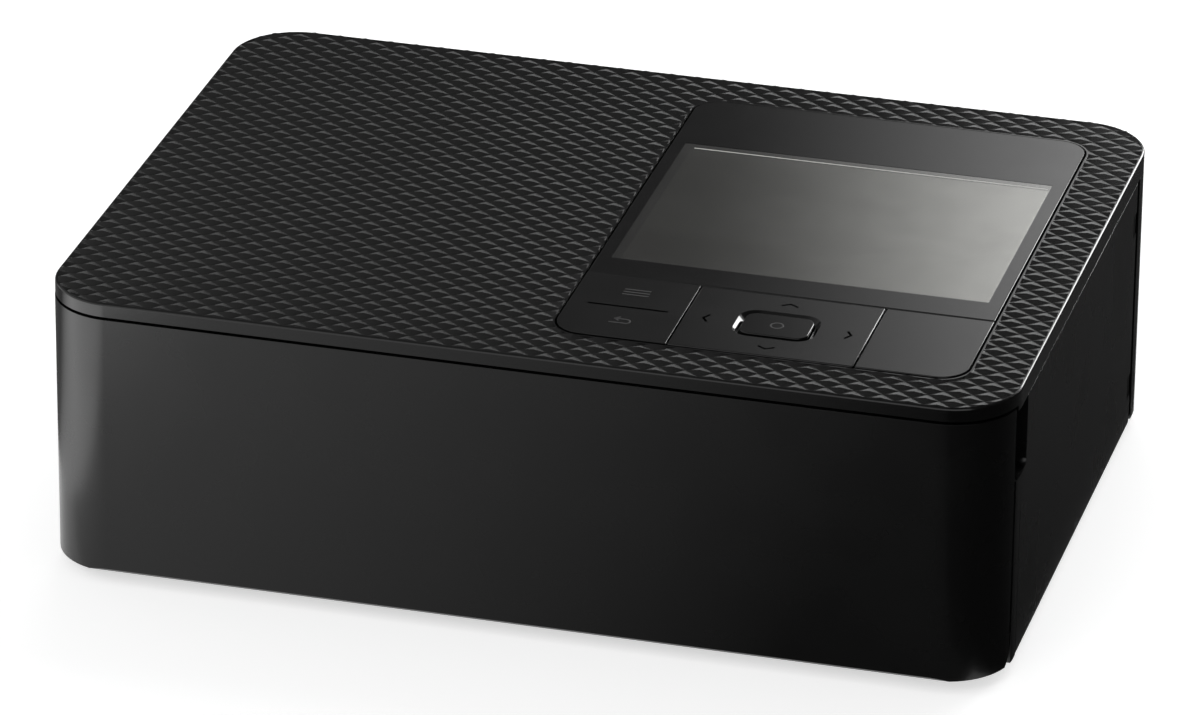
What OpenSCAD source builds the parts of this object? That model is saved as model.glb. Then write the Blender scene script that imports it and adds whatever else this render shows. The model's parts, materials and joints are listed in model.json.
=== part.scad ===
// Compact photo printer: a dye ribbon printer with a tilting front cover, a swinging ribbon door and a
// flush control panel. Millimetres, +X to the right, -Y to the front, +Z up. The origin is on the table
// under the middle of the casing.

/* [Casing] */
// Width of the casing, side to side
case_w = 182.2; // [180:0.1:190]
// Depth of the casing, front to rear
case_d = 133.0; // [131:0.1:140]
// Height from the table to the top of the cover
case_h = 57.6; // [57:0.1:64]
// Radius of the four upright corners
corner_r = 13; // [11:0.5:14]
// Thickness of the outer walls
wall = 2.2; // [1.8:0.1:2.4]
// Thickness of the floor
floor_t = 2.0; // [1.6:0.1:2.4]
// Height of the feet under the walls
foot_h = 2.6; // [2.2:0.1:4]
// Radius of a rubber foot
foot_r = 6; // [4:0.5:7]

/* [Top cover] */
// Thickness of the cover's plate
top_t = 2.4; // [2:0.1:2.6]
// Height of the rim along the sides and the rear
side_rim_h = 4.1; // [3.2:0.1:5]
// Height of the rim above the front cover
front_rim_h = 2.9; // [2.5:0.1:3.1]
// Width of the plain lip around the patterned field
lip_w = 0.6; // [0.3:0.1:1.5]
// Drop of the plain lip below the field
lip_drop = 0.5; // [0.3:0.1:0.8]

/* [Front cover] */
// Shadow gap between the front cover and the rim
shadow_gap = 0.5; // [0.3:0.1:0.8]
// Distance that the front cover stands proud of the rim
cover_proud = 0.2; // [0:0.1:0.4]
// Length of the cover's returns, from the front face back
return_l = 10.1; // [9:0.1:10.5]
// Gap between the returns and the side walls
return_gap = 0.8; // [0.6:0.1:1.2]
// Distance of the cover's pivots behind its front face
pivot_back = 5.0; // [4.8:0.1:5.2]
// Height of the cover's pivots above the table
pivot_z = 6.0; // [5.9:0.1:6.4]
// Radius of the cover's pivot pins
pivot_r = 1.2; // [1:0.1:1.3]
// Height of the finger notch's lower edge above the table
notch_z = 39.4; // [36:0.1:42]
// Length of the finger notch behind the cover's returns
notch_l = 8.0; // [6:0.1:10]

/* [Ribbon door] */
// Distance of the door's front edge behind the casing's front
door_front = 14.5; // [14:0.1:16]
// Distance of the door's hinge axis before the casing's rear
door_hinge_back = 17.5; // [17:0.1:20]
// Radius of the door's round hinge edge
barrel_r = 1.8; // [1.7:0.05:1.9]
// Radius of the door's hinge pins
door_pin_r = 0.8; // [0.6:0.05:0.9]
// Depth of the recessed panel behind the door
recess = 6.1; // [6:0.1:6.6]

/* [Control panel] */
// Width of the control panel
panel_w = 77.0; // [76:0.1:79]
// Length of the control panel, front to rear
panel_l = 109.75; // [108:0.05:112]
// Corner radius of the control panel
panel_r = 5.5; // [3:0.5:6]
// Distance from the panel to the casing's right side
panel_right = 10.85; // [10:0.05:12]
// Distance from the panel to the casing's front
panel_front = 12.25; // [11.5:0.05:13]
// Length of the key row, front to rear
key_row_l = 26.0; // [25:0.1:27]
// Width of the left key
left_key_w = 21.85; // [20:0.05:23]
// Width of the four-way key
nav_key_w = 34.9; // [33:0.1:36]
// Gap around the panel and between its pieces
panel_gap = 0.3; // [0.2:0.05:0.4]
// Thickness of the window and the key plates
panel_t = 1.6; // [1.3:0.1:1.7]
// Width of the centre button's cap
ok_w = 12.8; // [11:0.1:14]
// Length of the centre button's cap, front to rear
ok_l = 8.9; // [8:0.1:10]
// Corner radius of the centre button's cap
ok_r = 2.2; // [1:0.1:3]
// Width of the sloped groove around the centre button
groove_w = 1.3; // [1:0.1:1.6]
// Depth of the groove around the centre button
groove_d = 0.9; // [0.6:0.1:1.2]
// Distance that a key moves when it is pressed
key_travel = 0.5; // [0.3:0.05:0.5]

/* [Display] */
// Width of the display module
lcd_w = 72.5; // [70:0.1:73]
// Length of the display module, front to rear
lcd_l = 56.5; // [54:0.1:57]
// Thickness of the display module
lcd_t = 3.0; // [2.6:0.1:3.1]

/* [Paper path] */
// Distance from the thermal head's line to the casing's rear
head_to_rear = 51.5; // [51:0.1:53]
// Depth of the paper path below the top of the casing
path_drop = 35.6; // [35:0.1:36]
// Printed width
print_w = 104; // [100:0.5:105]
// Width of the paper bay
bay_w = 118; // [114:0.5:119]
// Distance of the paper bay's upper edge above the paper path
bay_rise = 3.2; // [2:0.1:3.4]
// Width of the paper slot in the rear wall
slot_w = 108; // [104:0.5:110]
// Height of the paper slot in the rear wall
slot_h = 9.0; // [8:0.1:10]
// Radius of the platen roller
platen_r = 6.0; // [5.5:0.1:6.2]
// Radius of the capstan roller
capstan_r = 3.0; // [2.8:0.1:3.2]
// Radius of the pinch roller
pinch_r = 1.9; // [1.6:0.1:2]
// Radius of the pickup rollers
pickup_r = 6.5; // [6:0.1:6.8]
// Radius of the shafts' journals
journal_r = 2.0; // [1.8:0.1:2.1]

/* [Ribbon cassette] */
// Length of the ribbon cassette, side to side
cassette_l = 128; // [126:0.5:129]
// Outer radius of the cassette's two tubes
tube_r = 10.2; // [9.8:0.1:10.3]
// Distance from the head's line to each spool's axis
spool_pitch = 21; // [20.8:0.1:21.4]
// Height of the spool axes above the paper path
spool_lift = 14; // [13.6:0.1:14.2]
// Wall of the cassette's tubes
tube_wall = 1.2; // [0.8:0.1:1.4]
// Radius of the ribbon wound on the supply spool
supply_roll_r = 7.8; // [5:0.1:8]
// Radius of the ribbon wound on the take-up spool
takeup_roll_r = 4.9; // [4.6:0.1:7]

/* [Drive] */
// Module of all gears
gear_m = 0.6; // [0.6:0.01:0.6]
// Width of the gears
gear_w = 4; // [3:0.5:4.5]
// Tooth clearance of a gear pair, at the pitch circles
backlash = 0.12; // [0.1:0.01:0.2]
// Radius of the feed motor
motor_r = 7.8; // [7:0.1:8]
// Length of the feed motor
motor_l = 26; // [20:1:34]
// Running clearance of shafts and bores
running = 0.05; // [0.03:0.01:0.08]

/* [Boards and sockets] */
// Height of the main board's underside above the table
board_z = 20.4; // [20:0.1:20.8]
// Thickness of the boards
board_t = 1.6; // [1:0.1:1.6]
// Side of the square cooling fan
fan_size = 30; // [25:0.5:30]
// Thickness of the cooling fan
fan_t = 8; // [7:0.5:10]

/* [Hidden] */
$fn = 64;
pressure_angle = 20;
seat = 0.05;                    // fixed pieces lie this far from what carries them
fit = 0.15;                     // assembly clearance of fixed pieces side by side

// Gear teeth
capstan_teeth = 26;
pinion_teeth = 14;
takeup_idler_teeth = 16;
takeup_teeth = 20;
feed_idler_teeth = 32;
pickup_teeth = 34;
feed_idler_angle = 165;

// Casing
half_w = case_w / 2;
half_d = case_d / 2;
wall_z = foot_h;
floor_z = wall_z + floor_t;
side_seam_z = case_h - side_rim_h;
rim_front_z = case_h - front_rim_h;
cover_top_z = rim_front_z - shadow_gap;
plate_z = case_h - top_t;
shell_top_z = side_seam_z - fit;
inner_w = half_w - wall;
inner_d = half_d - wall;
recess_x = half_w - recess;     // outer face of the recessed panel is recess_x + recess_t
recess_t = 2.0;

// Front cover and its pivots
return_y = -half_d + return_l;
shell_front_y = return_y + return_gap;
pivot_y = -half_d + pivot_back;
sweep_r = norm([pivot_back, pivot_z - wall_z]) + 0.25;
floor_front_y = pivot_y + sweep_r;
pivot_x = 70;
ear_t = 3.4;
bracket_t = 2.4;
bracket_x = pivot_x + ear_t / 2 + 0.3 + bracket_t / 2;
edge_cut = 0.6;
hook_x = 60;
hook_z = cover_top_z - 8;

// Ribbon door
door_y0 = -half_d + door_front;
hinge_y = half_d - door_hinge_back;
hinge_x = half_w - barrel_r;
door_gap = 0.25;
shell_rear_y = hinge_y + barrel_r + 0.3;
door_z0 = wall_z + fit;
door_z1 = shell_top_z - 0.05;
lug_h = 4;
lug_z = [floor_z + 4.4, side_seam_z - 10.5];
lug_room = 0.2;
door_hook_z = [lug_z[0] + 8, lug_z[1] - 12];
door_pin_l = 12;

// Control panel
panel_x1 = half_w - panel_right;
panel_x0 = panel_x1 - panel_w;
panel_y0 = -half_d + panel_front;
panel_y1 = panel_y0 + panel_l;
key_y1 = panel_y0 + key_row_l;
left_key_x1 = panel_x0 + left_key_w;
nav_key_x1 = left_key_x1 + nav_key_w;
panel_mid_x = (panel_x0 + panel_x1) / 2;
panel_mid_y = (panel_y0 + panel_y1) / 2;
key_mid_y = (panel_y0 + key_y1) / 2;
left_key_x = (panel_x0 + left_key_x1) / 2;
nav_x = (left_key_x1 + nav_key_x1) / 2;
print_key_x = (nav_key_x1 + panel_x1) / 2;
plates_z = case_h - panel_t;
tray_border = 2.25;
tray_t = 1.4;
tray_z1 = plate_z - seat;
tray_z0 = plates_z - 0.1 - lcd_t - seat - tray_t;
lcd_x = panel_mid_x + 0.25;
lcd_y = 6.0 + key_y1 + lcd_l / 2;
board_key_t = 1.0;
board_key_z = tray_z0 + tray_t + seat;
switch_z = board_key_z + board_key_t;
switch_side = 4;
cradle_z = switch_z + 1.0;
nub_r = 1.2;
nub_z = plates_z - 0.4;
plunger_z = nub_z - key_travel - 0.05;
nub_reach = 9;
key_spots = [
    [left_key_x, key_mid_y + 6.6], [left_key_x, key_mid_y - 6.6],
    [nav_x, key_mid_y + nub_reach], [nav_x, key_mid_y - nub_reach],
    [nav_x - 13.6, key_mid_y], [nav_x + 13.6, key_mid_y],
    [nav_x, key_mid_y], [print_key_x, key_mid_y]];

// Print works, from the ribbon door inwards
frame_t = 1.2;
foot_flange = 3;                // width of the frames' feet on the floor
foot_l = 7;                     // length of each foot
right_frame_x = recess_x - 6;
cassette_x1 = right_frame_x - 1;
cassette_x0 = cassette_x1 - cassette_l;
left_frame_x = cassette_x0 - 4;
print_x = (cassette_x0 + cassette_x1) / 2;
frame_top_z = tray_z0 - 0.7;
frame_y0 = -half_d + 32;
frame_y1 = half_d - 13;
gear_x1 = left_frame_x - frame_t - 1.3;
gear_x0 = gear_x1 - gear_w;
path_z = case_h - path_drop;
spool_z = path_z + spool_lift;
head_y = half_d - head_to_rear;
feed_dy = 12;                   // from the head's line to the capstan and pinch rollers
platen_at = [head_y, path_z - platen_r];
capstan_at = [head_y + feed_dy, path_z - capstan_r];
pinch_at = [head_y + feed_dy, path_z + pinch_r + 0.02];
supply_at = [head_y - spool_pitch, spool_z];
takeup_at = [head_y + spool_pitch, spool_z];
pickup_at = [head_y - 41, path_z + 2 + pickup_r];
head_w = print_w + 2;
head_half = 6;
head_z = path_z + 0.3;
head_base_t = 2.1;
heatsink_h = 15.5;
arm_t = 1.5;
arm_plate_z = spool_z + tube_r + 0.7;
arm_pivot_at = [head_y - 34, arm_plate_z + 0.3];
arm_boss_r = 3.2;
arm_x0 = print_x - head_w / 2 - 3.6;
arm_x1 = print_x + head_w / 2 + 3.6;
boss_w = 6;

// Paper bay and front frame
frame_y = -half_d + 12.9;       // front face of the front frame
front_frame_t = 2.0;
bay_x0 = print_x - bay_w / 2;
bay_x1 = print_x + bay_w / 2;
bay_t = 1.0;
bay_z0 = floor_z + 0.4 + bay_t;
bay_h = path_z + bay_rise - bay_z0;
bay_y0 = frame_y + front_frame_t + fit;
bay_y1 = head_y - 13;
slot_z0 = path_z - 3;

// Drive
mesh_c = gear_m / 2;
// The motor lies below the capstan's axis, but no lower than the floor lets it
motor_drop = min(6, capstan_at.y - motor_r - 0.5 - floor_z);
motor_at = capstan_at
    + [sqrt(pow(mesh_c * (capstan_teeth + pinion_teeth), 2) - pow(motor_drop, 2)), -motor_drop];
takeup_idler_at = meet(capstan_at, mesh_c * (capstan_teeth + takeup_idler_teeth),
    takeup_at, mesh_c * (takeup_idler_teeth + takeup_teeth), 1);
idler_a_at = capstan_at
    + mesh_c * (capstan_teeth + feed_idler_teeth) * [cos(feed_idler_angle), sin(feed_idler_angle)];
idler_b_at = meet(idler_a_at, mesh_c * 2 * feed_idler_teeth,
    pickup_at, mesh_c * (feed_idler_teeth + pickup_teeth), 1);
motor_phase = mesh_phase(capstan_teeth, 0, pinion_teeth, bearing(capstan_at, motor_at));
takeup_idler_phase =
    mesh_phase(capstan_teeth, 0, takeup_idler_teeth, bearing(capstan_at, takeup_idler_at));
takeup_phase = mesh_phase(takeup_idler_teeth, takeup_idler_phase, takeup_teeth,
    bearing(takeup_idler_at, takeup_at));
idler_a_phase = mesh_phase(capstan_teeth, 0, feed_idler_teeth, bearing(capstan_at, idler_a_at));
idler_b_phase = mesh_phase(feed_idler_teeth, idler_a_phase, feed_idler_teeth,
    bearing(idler_a_at, idler_b_at));
pickup_phase = mesh_phase(feed_idler_teeth, idler_b_phase, pickup_teeth,
    bearing(idler_b_at, pickup_at));
stud_r = 1.5;
stud_end_x = gear_x0 - 0.6;
shaft_end_x = gear_x0 - 0.4;
shaft_out = 0.2;                // the shafts' ends stand this far out of the frames
body_in = 1.6;                  // the shafts' thick bodies end this far inside the frames
sleeve_bore_r = 3;              // bore of the platen's and the pickup rollers' rubber
pickup_w = 16;
pickup_dx = 24;                 // each pickup roller's place beside the paper's middle
pinch_journal_r = 1.2;
motor_shaft_r = 1.0;
bush_r = 3.0;
bush_flange_r = 3.6;
bush_flange_t = 0.8;
hub_r = 2.5;
core_r = 4.0;
core_x0 = cassette_x0 + 0.2;
cassette_end_t = 2.0;            // thickness of the cassette's two end plates
lever_at = [supply_at.x - tube_r - 4.2, spool_z - 2];

// Boards, sockets and the fan, in the space at the left
board_x0 = -inner_w + 2.4;
board_x1 = gear_x0 - 1.6;
board_y0 = -half_d + 24;
fan_y = half_d - 29.5;
board_y1 = fan_y - fan_size / 2 - 0.5;
board_top = board_z + board_t;
wireless_w = 12;
board_post_in = 4;              // from the board's edges to its screws
switch_l = 6;
button_r = 4;
button_travel = 0.7;
card_w = 28;
card_t = 4.0;
card_mouth = [24.6, 2.6];
usb_mouth = [8.94, 3.26];
usb_shell = 0.4;
usb_w = usb_mouth.x + 2 * usb_shell;
// The switch, card slot and socket share out the length that is left on the board, front to rear
board_spare = board_y1 - board_y0 - switch_l - card_w - usb_w;
button_at = [board_y0 + 0.1 * board_spare + switch_l / 2, board_top + 5];
card_y = button_at.x + switch_l / 2 + 0.34 * board_spare + card_w / 2;
usb_y = card_y + card_w / 2 + 0.16 * board_spare + usb_w / 2;
jack_at = [-half_w + 21.1, floor_z + 9];
jack_r = 2.75;
jack_w = 9;
jack_l = 13;
fan_x0 = -inner_w + 1.6;
fan_z = floor_z + seat + fan_size / 2;
fan_hole_r = fan_size / 2 - 1.2;
fan_hub_r = 5;
screw_at = [[half_w - 8.1, -half_d + 19], [half_w - 8.9, half_d - 8.3]];
screw_post_r = 3;
screw_r = 1.1;
screw_head_r = 2.4;
foot_at = [[half_w - 17.1, -half_d + 20.5], [half_w - 17.1, half_d - 16.5]];

// ---------- geometry helpers ----------

// A box from its lowest to its highest corner
module span(lo, hi) {
    translate(lo) cube(hi - lo);
}

// A rectangle with round corners, made of exact squares and circles
module rounded_rect(w, d, r) {
    square([w - 2 * r, d], center = true);
    square([w, d - 2 * r], center = true);
    for (sx = [-1, 1], sy = [-1, 1])
        translate([sx * (w / 2 - r), sy * (d / 2 - r)]) circle(r);
}

// The casing's plan, drawn in by a distance
module plan(inset = 0) {
    rounded_rect(case_w - 2 * inset, case_d - 2 * inset, corner_r - inset);
}

module slab(z0, z1) {
    translate([0, 0, z0]) linear_extrude(z1 - z0) children();
}

// What it holds is drawn in (Y, Z) and runs along X from x0 to x1
module along_x(x0, x1) {
    translate([x0, 0, 0]) rotate([90, 0, 90]) linear_extrude(x1 - x0) children();
}

// What it holds is drawn in (X, Z) and runs along Y from y0 to y1
module along_y(y0, y1) {
    translate([0, y1, 0]) rotate([90, 0, 0]) linear_extrude(y1 - y0) children();
}

module rod(x0, x1, at, r) {
    translate([x0, at.x, at.y]) rotate([0, 90, 0]) cylinder(r = r, h = x1 - x0);
}

module tube(x0, x1, at, r, bore) {
    difference() {
        rod(x0, x1, at, r);
        rod(x0 - 1, x1 + 1, at, bore);
    }
}

// ---------- gear geometry: angles run from +Y towards +Z, seen along +X ----------

function bearing(a, b) = atan2(b.y - a.y, b.x - a.x);

// The point at distance ra from a and rb from b, on one side of the line between them
function meet(a, ra, b, rb, side) =
    let (d = b - a, l = norm(d), u = d / l, x = (l * l + ra * ra - rb * rb) / (2 * l),
        h = sqrt(ra * ra - x * x))
    a + u * x + side * h * [-u.y, u.x];

// Where the follower's first tooth stands so that it meets a gap of the driver
function mesh_phase(n1, phase1, n2, angle) = angle + 180 + (n1 * (angle - phase1) - 180) / n2;

function involute_angle(rb, r) = let (a = acos(min(1, rb / r))) tan(a) * 180 / PI - a;

function half_tooth(n, r) =
    let (rp = mesh_c * n, rb = rp * cos(pressure_angle))
    90 / n - backlash / 4 / rp * 180 / PI + involute_angle(rb, rp) - involute_angle(rb, max(r, rb));

// One tooth's outline, from its left root to its right root
function tooth(n, centre) =
    let (rp = mesh_c * n, rf = rp - 1.25 * gear_m, ra = rp + 0.95 * gear_m,
        radii = [for (k = [0:4]) rf + (ra - rf) * k / 4])
    concat(
        [for (r = radii) r * [cos(centre - half_tooth(n, r)), sin(centre - half_tooth(n, r))]],
        [for (k = [4:-1:0]) let (r = radii[k])
            r * [cos(centre + half_tooth(n, r)), sin(centre + half_tooth(n, r))]]);

module gear(n, phase, at, bore, x0 = gear_x0, x1 = gear_x1) {
    along_x(x0, x1) translate(at) difference() {
        polygon([for (i = [0:n - 1]) each tooth(n, phase + 360 * i / n)]);
        circle(bore);
    }
}

// ---------- casing ----------

module corner_spots(spots) {
    for (s = spots, side = [-1, 1])
        translate([side * s.x, s.y, 0]) children();
}

module bottom_case() {
    color("#1b1b1b") difference() {
        union() {
            slab(wall_z, floor_z) intersection() {
                plan(wall + fit);
                translate([-half_w, floor_front_y]) square([case_w, case_d]);
            }
            for (side = [-1, 1]) hinge_bracket(side);
            board_screws() translate([0, 0, wall_z]) cylinder(r = 2.5, h = board_z - seat - wall_z);
            jack_cradle();
        }
        for (side = [-1, 1]) hinge_bore(side);
        corner_spots(foot_at) translate([0, 0, wall_z - 1]) cylinder(r = foot_r + seat, h = 1.6);
        corner_spots(screw_at) {
            translate([0, 0, wall_z - 1]) cylinder(r = screw_r + 0.3, h = floor_t + 2);
            translate([0, 0, wall_z - 1]) cylinder(r = screw_head_r + 0.2, h = 2);
        }
        span([hinge_x - barrel_r - 0.4, hinge_y - barrel_r - 0.4, 0],
            [half_w, hinge_y + barrel_r + 0.4, case_h]);
        rod(left_frame_x, right_frame_x, platen_at, platen_r + 0.6);
        for (i = [0:6])
            translate([-6 + 6 * i, half_d - 24, wall_z - 1]) slab(0, floor_t + 2) rounded_rect(2, 16, 0.9);
        // Shallow plain field where a rating plate would sit
        translate([-10, -8, wall_z - 1]) slab(0, 1.3) rounded_rect(60, 26, 2);
    }
}

module hinge_bracket(side) {
    x = side * bracket_x;
    along_x(x - bracket_t / 2, x + bracket_t / 2) {
        translate([pivot_y, pivot_z]) circle(pivot_r + 1);
        translate([pivot_y, pivot_z - pivot_r - 1])
            square([frame_y - 0.4 - pivot_y, 2 * pivot_r + 2]);
        translate([floor_front_y, wall_z]) square([frame_y - 0.4 - floor_front_y, 3.4]);
    }
}

module hinge_bore(side) {
    x = side * bracket_x;
    rod(x - bracket_t, x + bracket_t, [pivot_y, pivot_z], pivot_r);
}

module jack_cradle() {
    for (side = [-1, 1])
        span([jack_at.x + side * (jack_w / 2 + 1.1) - 1, inner_d - jack_l - 1, wall_z],
            [jack_at.x + side * (jack_w / 2 + 1.1) + 1, inner_d - 1, jack_at.y]);
    span([jack_at.x - jack_w / 2, inner_d - jack_l - 1, wall_z],
        [jack_at.x + jack_w / 2, inner_d - 1, jack_at.y - jack_w / 2 - seat]);
}

module body_shell() {
    color("#161616") difference() {
        union() {
            difference() {
                slab(wall_z, shell_top_z) difference() {
                    plan();
                    plan(wall);
                }
                span([-case_w, -case_d, 0], [case_w, shell_front_y, case_h]);
                span([half_w - wall - 1, door_y0 - door_gap, 0], [case_w, shell_rear_y, case_h]);
            }
            // Recessed panel behind the ribbon door, with its front pillar and hinge lugs
            span([recess_x, shell_front_y, floor_z + fit], [recess_x + recess_t, half_d - 4.5, shell_top_z]);
            span([recess_x, shell_front_y, floor_z + fit], [half_w - 1, door_y0 - door_gap, shell_top_z]);
            span([recess_x, shell_rear_y, floor_z + fit], [half_w - 1.5, half_d - corner_r, shell_top_z]);
            for (z = lug_z) door_lug(z);
            screw_post([-screw_at[0].x, screw_at[0].y], -inner_w - 0.5);
            screw_post(screw_at[0], recess_x + 0.5);
            for (side = [-1, 1])
                screw_post([side * screw_at[1].x, screw_at[1].y], side * (inner_w + 0.5));
        }
        door_barrel_room();
        cassette_window(recess_x - 1, recess_x + recess_t + 1);
        door_hook_slots();
        finger_notch();
        paper_slot(inner_d - 1, half_d + 1);
        left_wall_cuts();
        translate([jack_at.x, half_d + 1, jack_at.y]) rotate([90, 0, 0]) cylinder(r = 4.2, h = wall + 2);
        corner_spots(screw_at) translate([0, 0, floor_z]) cylinder(r = screw_r, h = 9);
    }
}

module door_lug(z) {
    intersection() {
        translate([0, 0, z]) {
            translate([hinge_x, hinge_y, 0]) cylinder(r = barrel_r - 0.2, h = lug_h);
            span([recess_x, hinge_y - 1.2, 0], [hinge_x, hinge_y + 1.2, lug_h]);
        }
        slab(wall_z, case_h) plan();
    }
}

module door_barrel_room() {
    for (room = [[floor_z - 1, lug_z[0]], [lug_z[0] + lug_h, lug_z[1]], [lug_z[1] + lug_h, case_h]])
        span([hinge_x - barrel_r - 0.4, hinge_y - barrel_r - 0.4, room[0]],
            [case_w, hinge_y + barrel_r + 0.3, room[1]]);
    for (z = lug_z) translate([hinge_x, hinge_y, z - 1]) cylinder(r = door_pin_r, h = lug_h + 2);
}

// The cassette's way in, from the door side
module cassette_window(x0, x1) {
    span([x0, supply_at.x - tube_r - 0.8, spool_z - tube_r - 0.8],
        [x1, takeup_at.x + tube_r + 0.4, spool_z + tube_r + 0.8]);
}

module door_hook_slots() {
    for (z = door_hook_z)
        span([recess_x - 1, door_y0 + 4, z - 0.6], [recess_x + recess_t + 1, door_y0 + 8, z + 4.6]);
}

module finger_notch() {
    along_x(recess_x + recess_t + 1, case_w) notch_outline();
}

// The notch's outline, with its lower rear corner rounded
module notch_outline() {
    r = 1.5;
    y1 = return_y + notch_l + 0.2;
    translate([return_y - 1, notch_z + r]) square([y1 - return_y + 1, case_h]);
    translate([return_y - 1, notch_z]) square([y1 - r - return_y + 1, r + 1]);
    translate([y1 - r, notch_z + r]) circle(r);
}

module paper_slot(y0, y1) {
    along_y(y0, y1) translate([print_x, slot_z0 + slot_h / 2]) rounded_rect(slot_w, slot_h, 1.5);
}

// A screw post and the rib that joins it to the wall at wall_x
module screw_post(at, wall_x) {
    translate([at.x, at.y, floor_z + seat]) cylinder(r = screw_post_r, h = 11);
    span([min(at.x, wall_x), at.y - 1, floor_z + fit], [max(at.x, wall_x), at.y + 1, floor_z + 9]);
}

module left_wall_cuts() {
    x = -half_w - 1;
    rod(x, x + wall + 2, button_at, button_r + running * 2);
    along_x(x, x + wall + 2) {
        translate([card_y, board_top + card_t / 2]) rounded_rect(card_w - 1, card_t + 0.6, 1);
        translate([usb_y, board_top + usb_shell + usb_mouth.y / 2]) rounded_rect(12, 6.4, 3.1);
        for (i = [-4:4]) translate([fan_y + 3 * i, fan_z]) rounded_rect(1.6, fan_size - 6, 0.75);
    }
}

module front_frame() {
    color("#131313") difference() {
        along_y(frame_y, frame_y + front_frame_t) front_frame_face();
        span([bay_x0, frame_y - 1, bay_z0], [bay_x1, frame_y + front_frame_t + 1, bay_z0 + bay_h]);
        for (side = [-1, 1])
            span([side * hook_x - 2.6, frame_y - 1, hook_z - 0.8],
                [side * hook_x + 2.6, frame_y + front_frame_t + 1, hook_z + 2.6]);
        for (x = [bay_x0 - 22, bay_x0 - 8])
            translate([x, frame_y + 1, floor_z + 4]) rotate([90, 0, 0]) cylinder(r = 1.6, h = 2);
    }
    color("#131313") for (x = [bay_x0 - 1.6, bay_x1])
        span([x, frame_y - 1.4, bay_z0 + bay_h + 1], [x + 1.6, frame_y + 0.01, tray_z0 - 3]);
}

// The front frame's face in (X, Z): lower under the control panel's tray
module front_frame_face() {
    x0 = -inner_w + fit;
    x1 = panel_x0 - tray_border - 0.3;
    translate([x0, floor_z + fit]) square([recess_x - fit - x0, tray_z0 - 0.3 - floor_z - fit]);
    translate([x0, floor_z + fit]) square([x1 - x0, plate_z - fit - floor_z - fit]);
}

module top_cover() {
    color("#1f1f1f") difference() {
        union() {
            slab(plate_z, case_h - lip_drop) cover_plan(0);
            slab(case_h - lip_drop - 0.01, case_h) cover_plan(lip_w);
            slab(rim_front_z, plate_z + 0.01) difference() {
                cover_plan(0);
                cover_plan(wall);
            }
            slab(side_seam_z, rim_front_z + 0.01) difference() {
                cover_plan(0);
                cover_plan(wall);
                translate([-case_w, -case_d]) square([2 * case_w, case_d + shell_front_y]);
            }
        }
        slab(plate_z - 1, case_h + 1) translate([panel_mid_x, panel_mid_y])
            rounded_rect(panel_w + 2 * panel_gap, panel_l + 2 * panel_gap, panel_r + panel_gap);
    }
}

// The top cover's plan: the front edge sits a little behind the front cover
module cover_plan(inset) {
    intersection() {
        plan(inset);
        translate([0, cover_proud]) plan(inset);
    }
}

module front_cover() {
    color("#181818") difference() {
        union() {
            slab(wall_z, cover_top_z) difference() {
                plan();
                plan(wall);
                translate([-case_w, return_y]) square([2 * case_w, case_d]);
            }
            for (side = [-1, 1]) {
                cover_ear(side);
                span([side * hook_x - 2, -inner_d - 0.2, hook_z],
                    [side * hook_x + 2, frame_y + front_frame_t + 1, hook_z + 1.4]);
                span([side * hook_x - 2, frame_y + front_frame_t + 0.2, hook_z - 0.5],
                    [side * hook_x + 2, frame_y + front_frame_t + 1, hook_z + 0.1]);
            }
        }
        cover_ear_bores();
        // Lower front edge cut back so that it clears the table as the cover tilts
        translate([0, -half_d, wall_z]) rotate([45, 0, 0])
            cube([case_w, edge_cut * sqrt(2), edge_cut * sqrt(2)], center = true);
        // The returns' lower corners follow the pivots
        for (side = [-1, 1]) difference() {
            span([side * half_w - 4, pivot_y, wall_z - 1], [side * half_w + 4, return_y + 1, pivot_z]);
            rod(-case_w, case_w, [pivot_y, pivot_z], return_y - pivot_y);
        }
    }
}

module cover_ear(side) {
    x = side * (pivot_x - 0.1);
    along_x(x - ear_t / 2, x + ear_t / 2) {
        translate([pivot_y, pivot_z]) circle(pivot_r + 1.2);
        translate([-inner_d - 0.2, pivot_z - pivot_r - 1.2])
            square([pivot_y + inner_d + 0.2, 2 * pivot_r + 2.4]);
        translate([-inner_d - 0.2, pivot_z]) square([1.6, 8]);
    }
}

module cover_ear_bores() {
    rod(-pivot_x - ear_t, pivot_x + ear_t, [pivot_y, pivot_z], pivot_r + running);
}

module front_cover_pins() {
    color("silver") for (side = [-1, 1])
        let (x0 = pivot_x - 0.1 - ear_t / 2, x1 = bracket_x + bracket_t / 2)
        rod(min(side * x0, side * x1), max(side * x0, side * x1), [pivot_y, pivot_z], pivot_r);
}

module ink_door() {
    color("#171717") difference() {
        union() {
            span([half_w - wall, door_y0, door_z0], [half_w, hinge_y, door_z1]);
            translate([hinge_x, hinge_y, door_z0]) cylinder(r = barrel_r, h = door_z1 - door_z0);
            for (z = [door_z0 + 2.5, door_z1 - 4])
                span([half_w - wall - 1.2, door_y0 + 3, z], [half_w - 1, hinge_y - 6, z + 1.2]);
            for (y = [door_y0 + 12, hinge_y - 7.2])
                span([half_w - wall - 1.2, y, door_z0 + 2.5], [half_w - 1, y + 1.2, door_z1 - 4]);
            for (z = door_hook_z) {
                span([recess_x - 0.5, door_y0 + 5, z], [half_w - 1, door_y0 + 6.6, z + 4]);
                span([recess_x - 0.5, door_y0 + 4.6, z], [recess_x - 0.1, door_y0 + 6.6, z + 4]);
            }
        }
        for (z = lug_z)
            span([hinge_x - 4, hinge_y - barrel_r - 0.5, z - lug_room],
                [half_w + 1, hinge_y + barrel_r + 1, z + lug_h + lug_room]);
        translate([hinge_x, hinge_y, door_z0 + 1]) cylinder(r = door_pin_r + running, h = case_h);
        finger_notch();
    }
}

module ink_door_pins() {
    color("silver") for (z = lug_z)
        translate([hinge_x, hinge_y, z + lug_h / 2 - door_pin_l / 2])
            cylinder(r = door_pin_r, h = door_pin_l);
}

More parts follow.
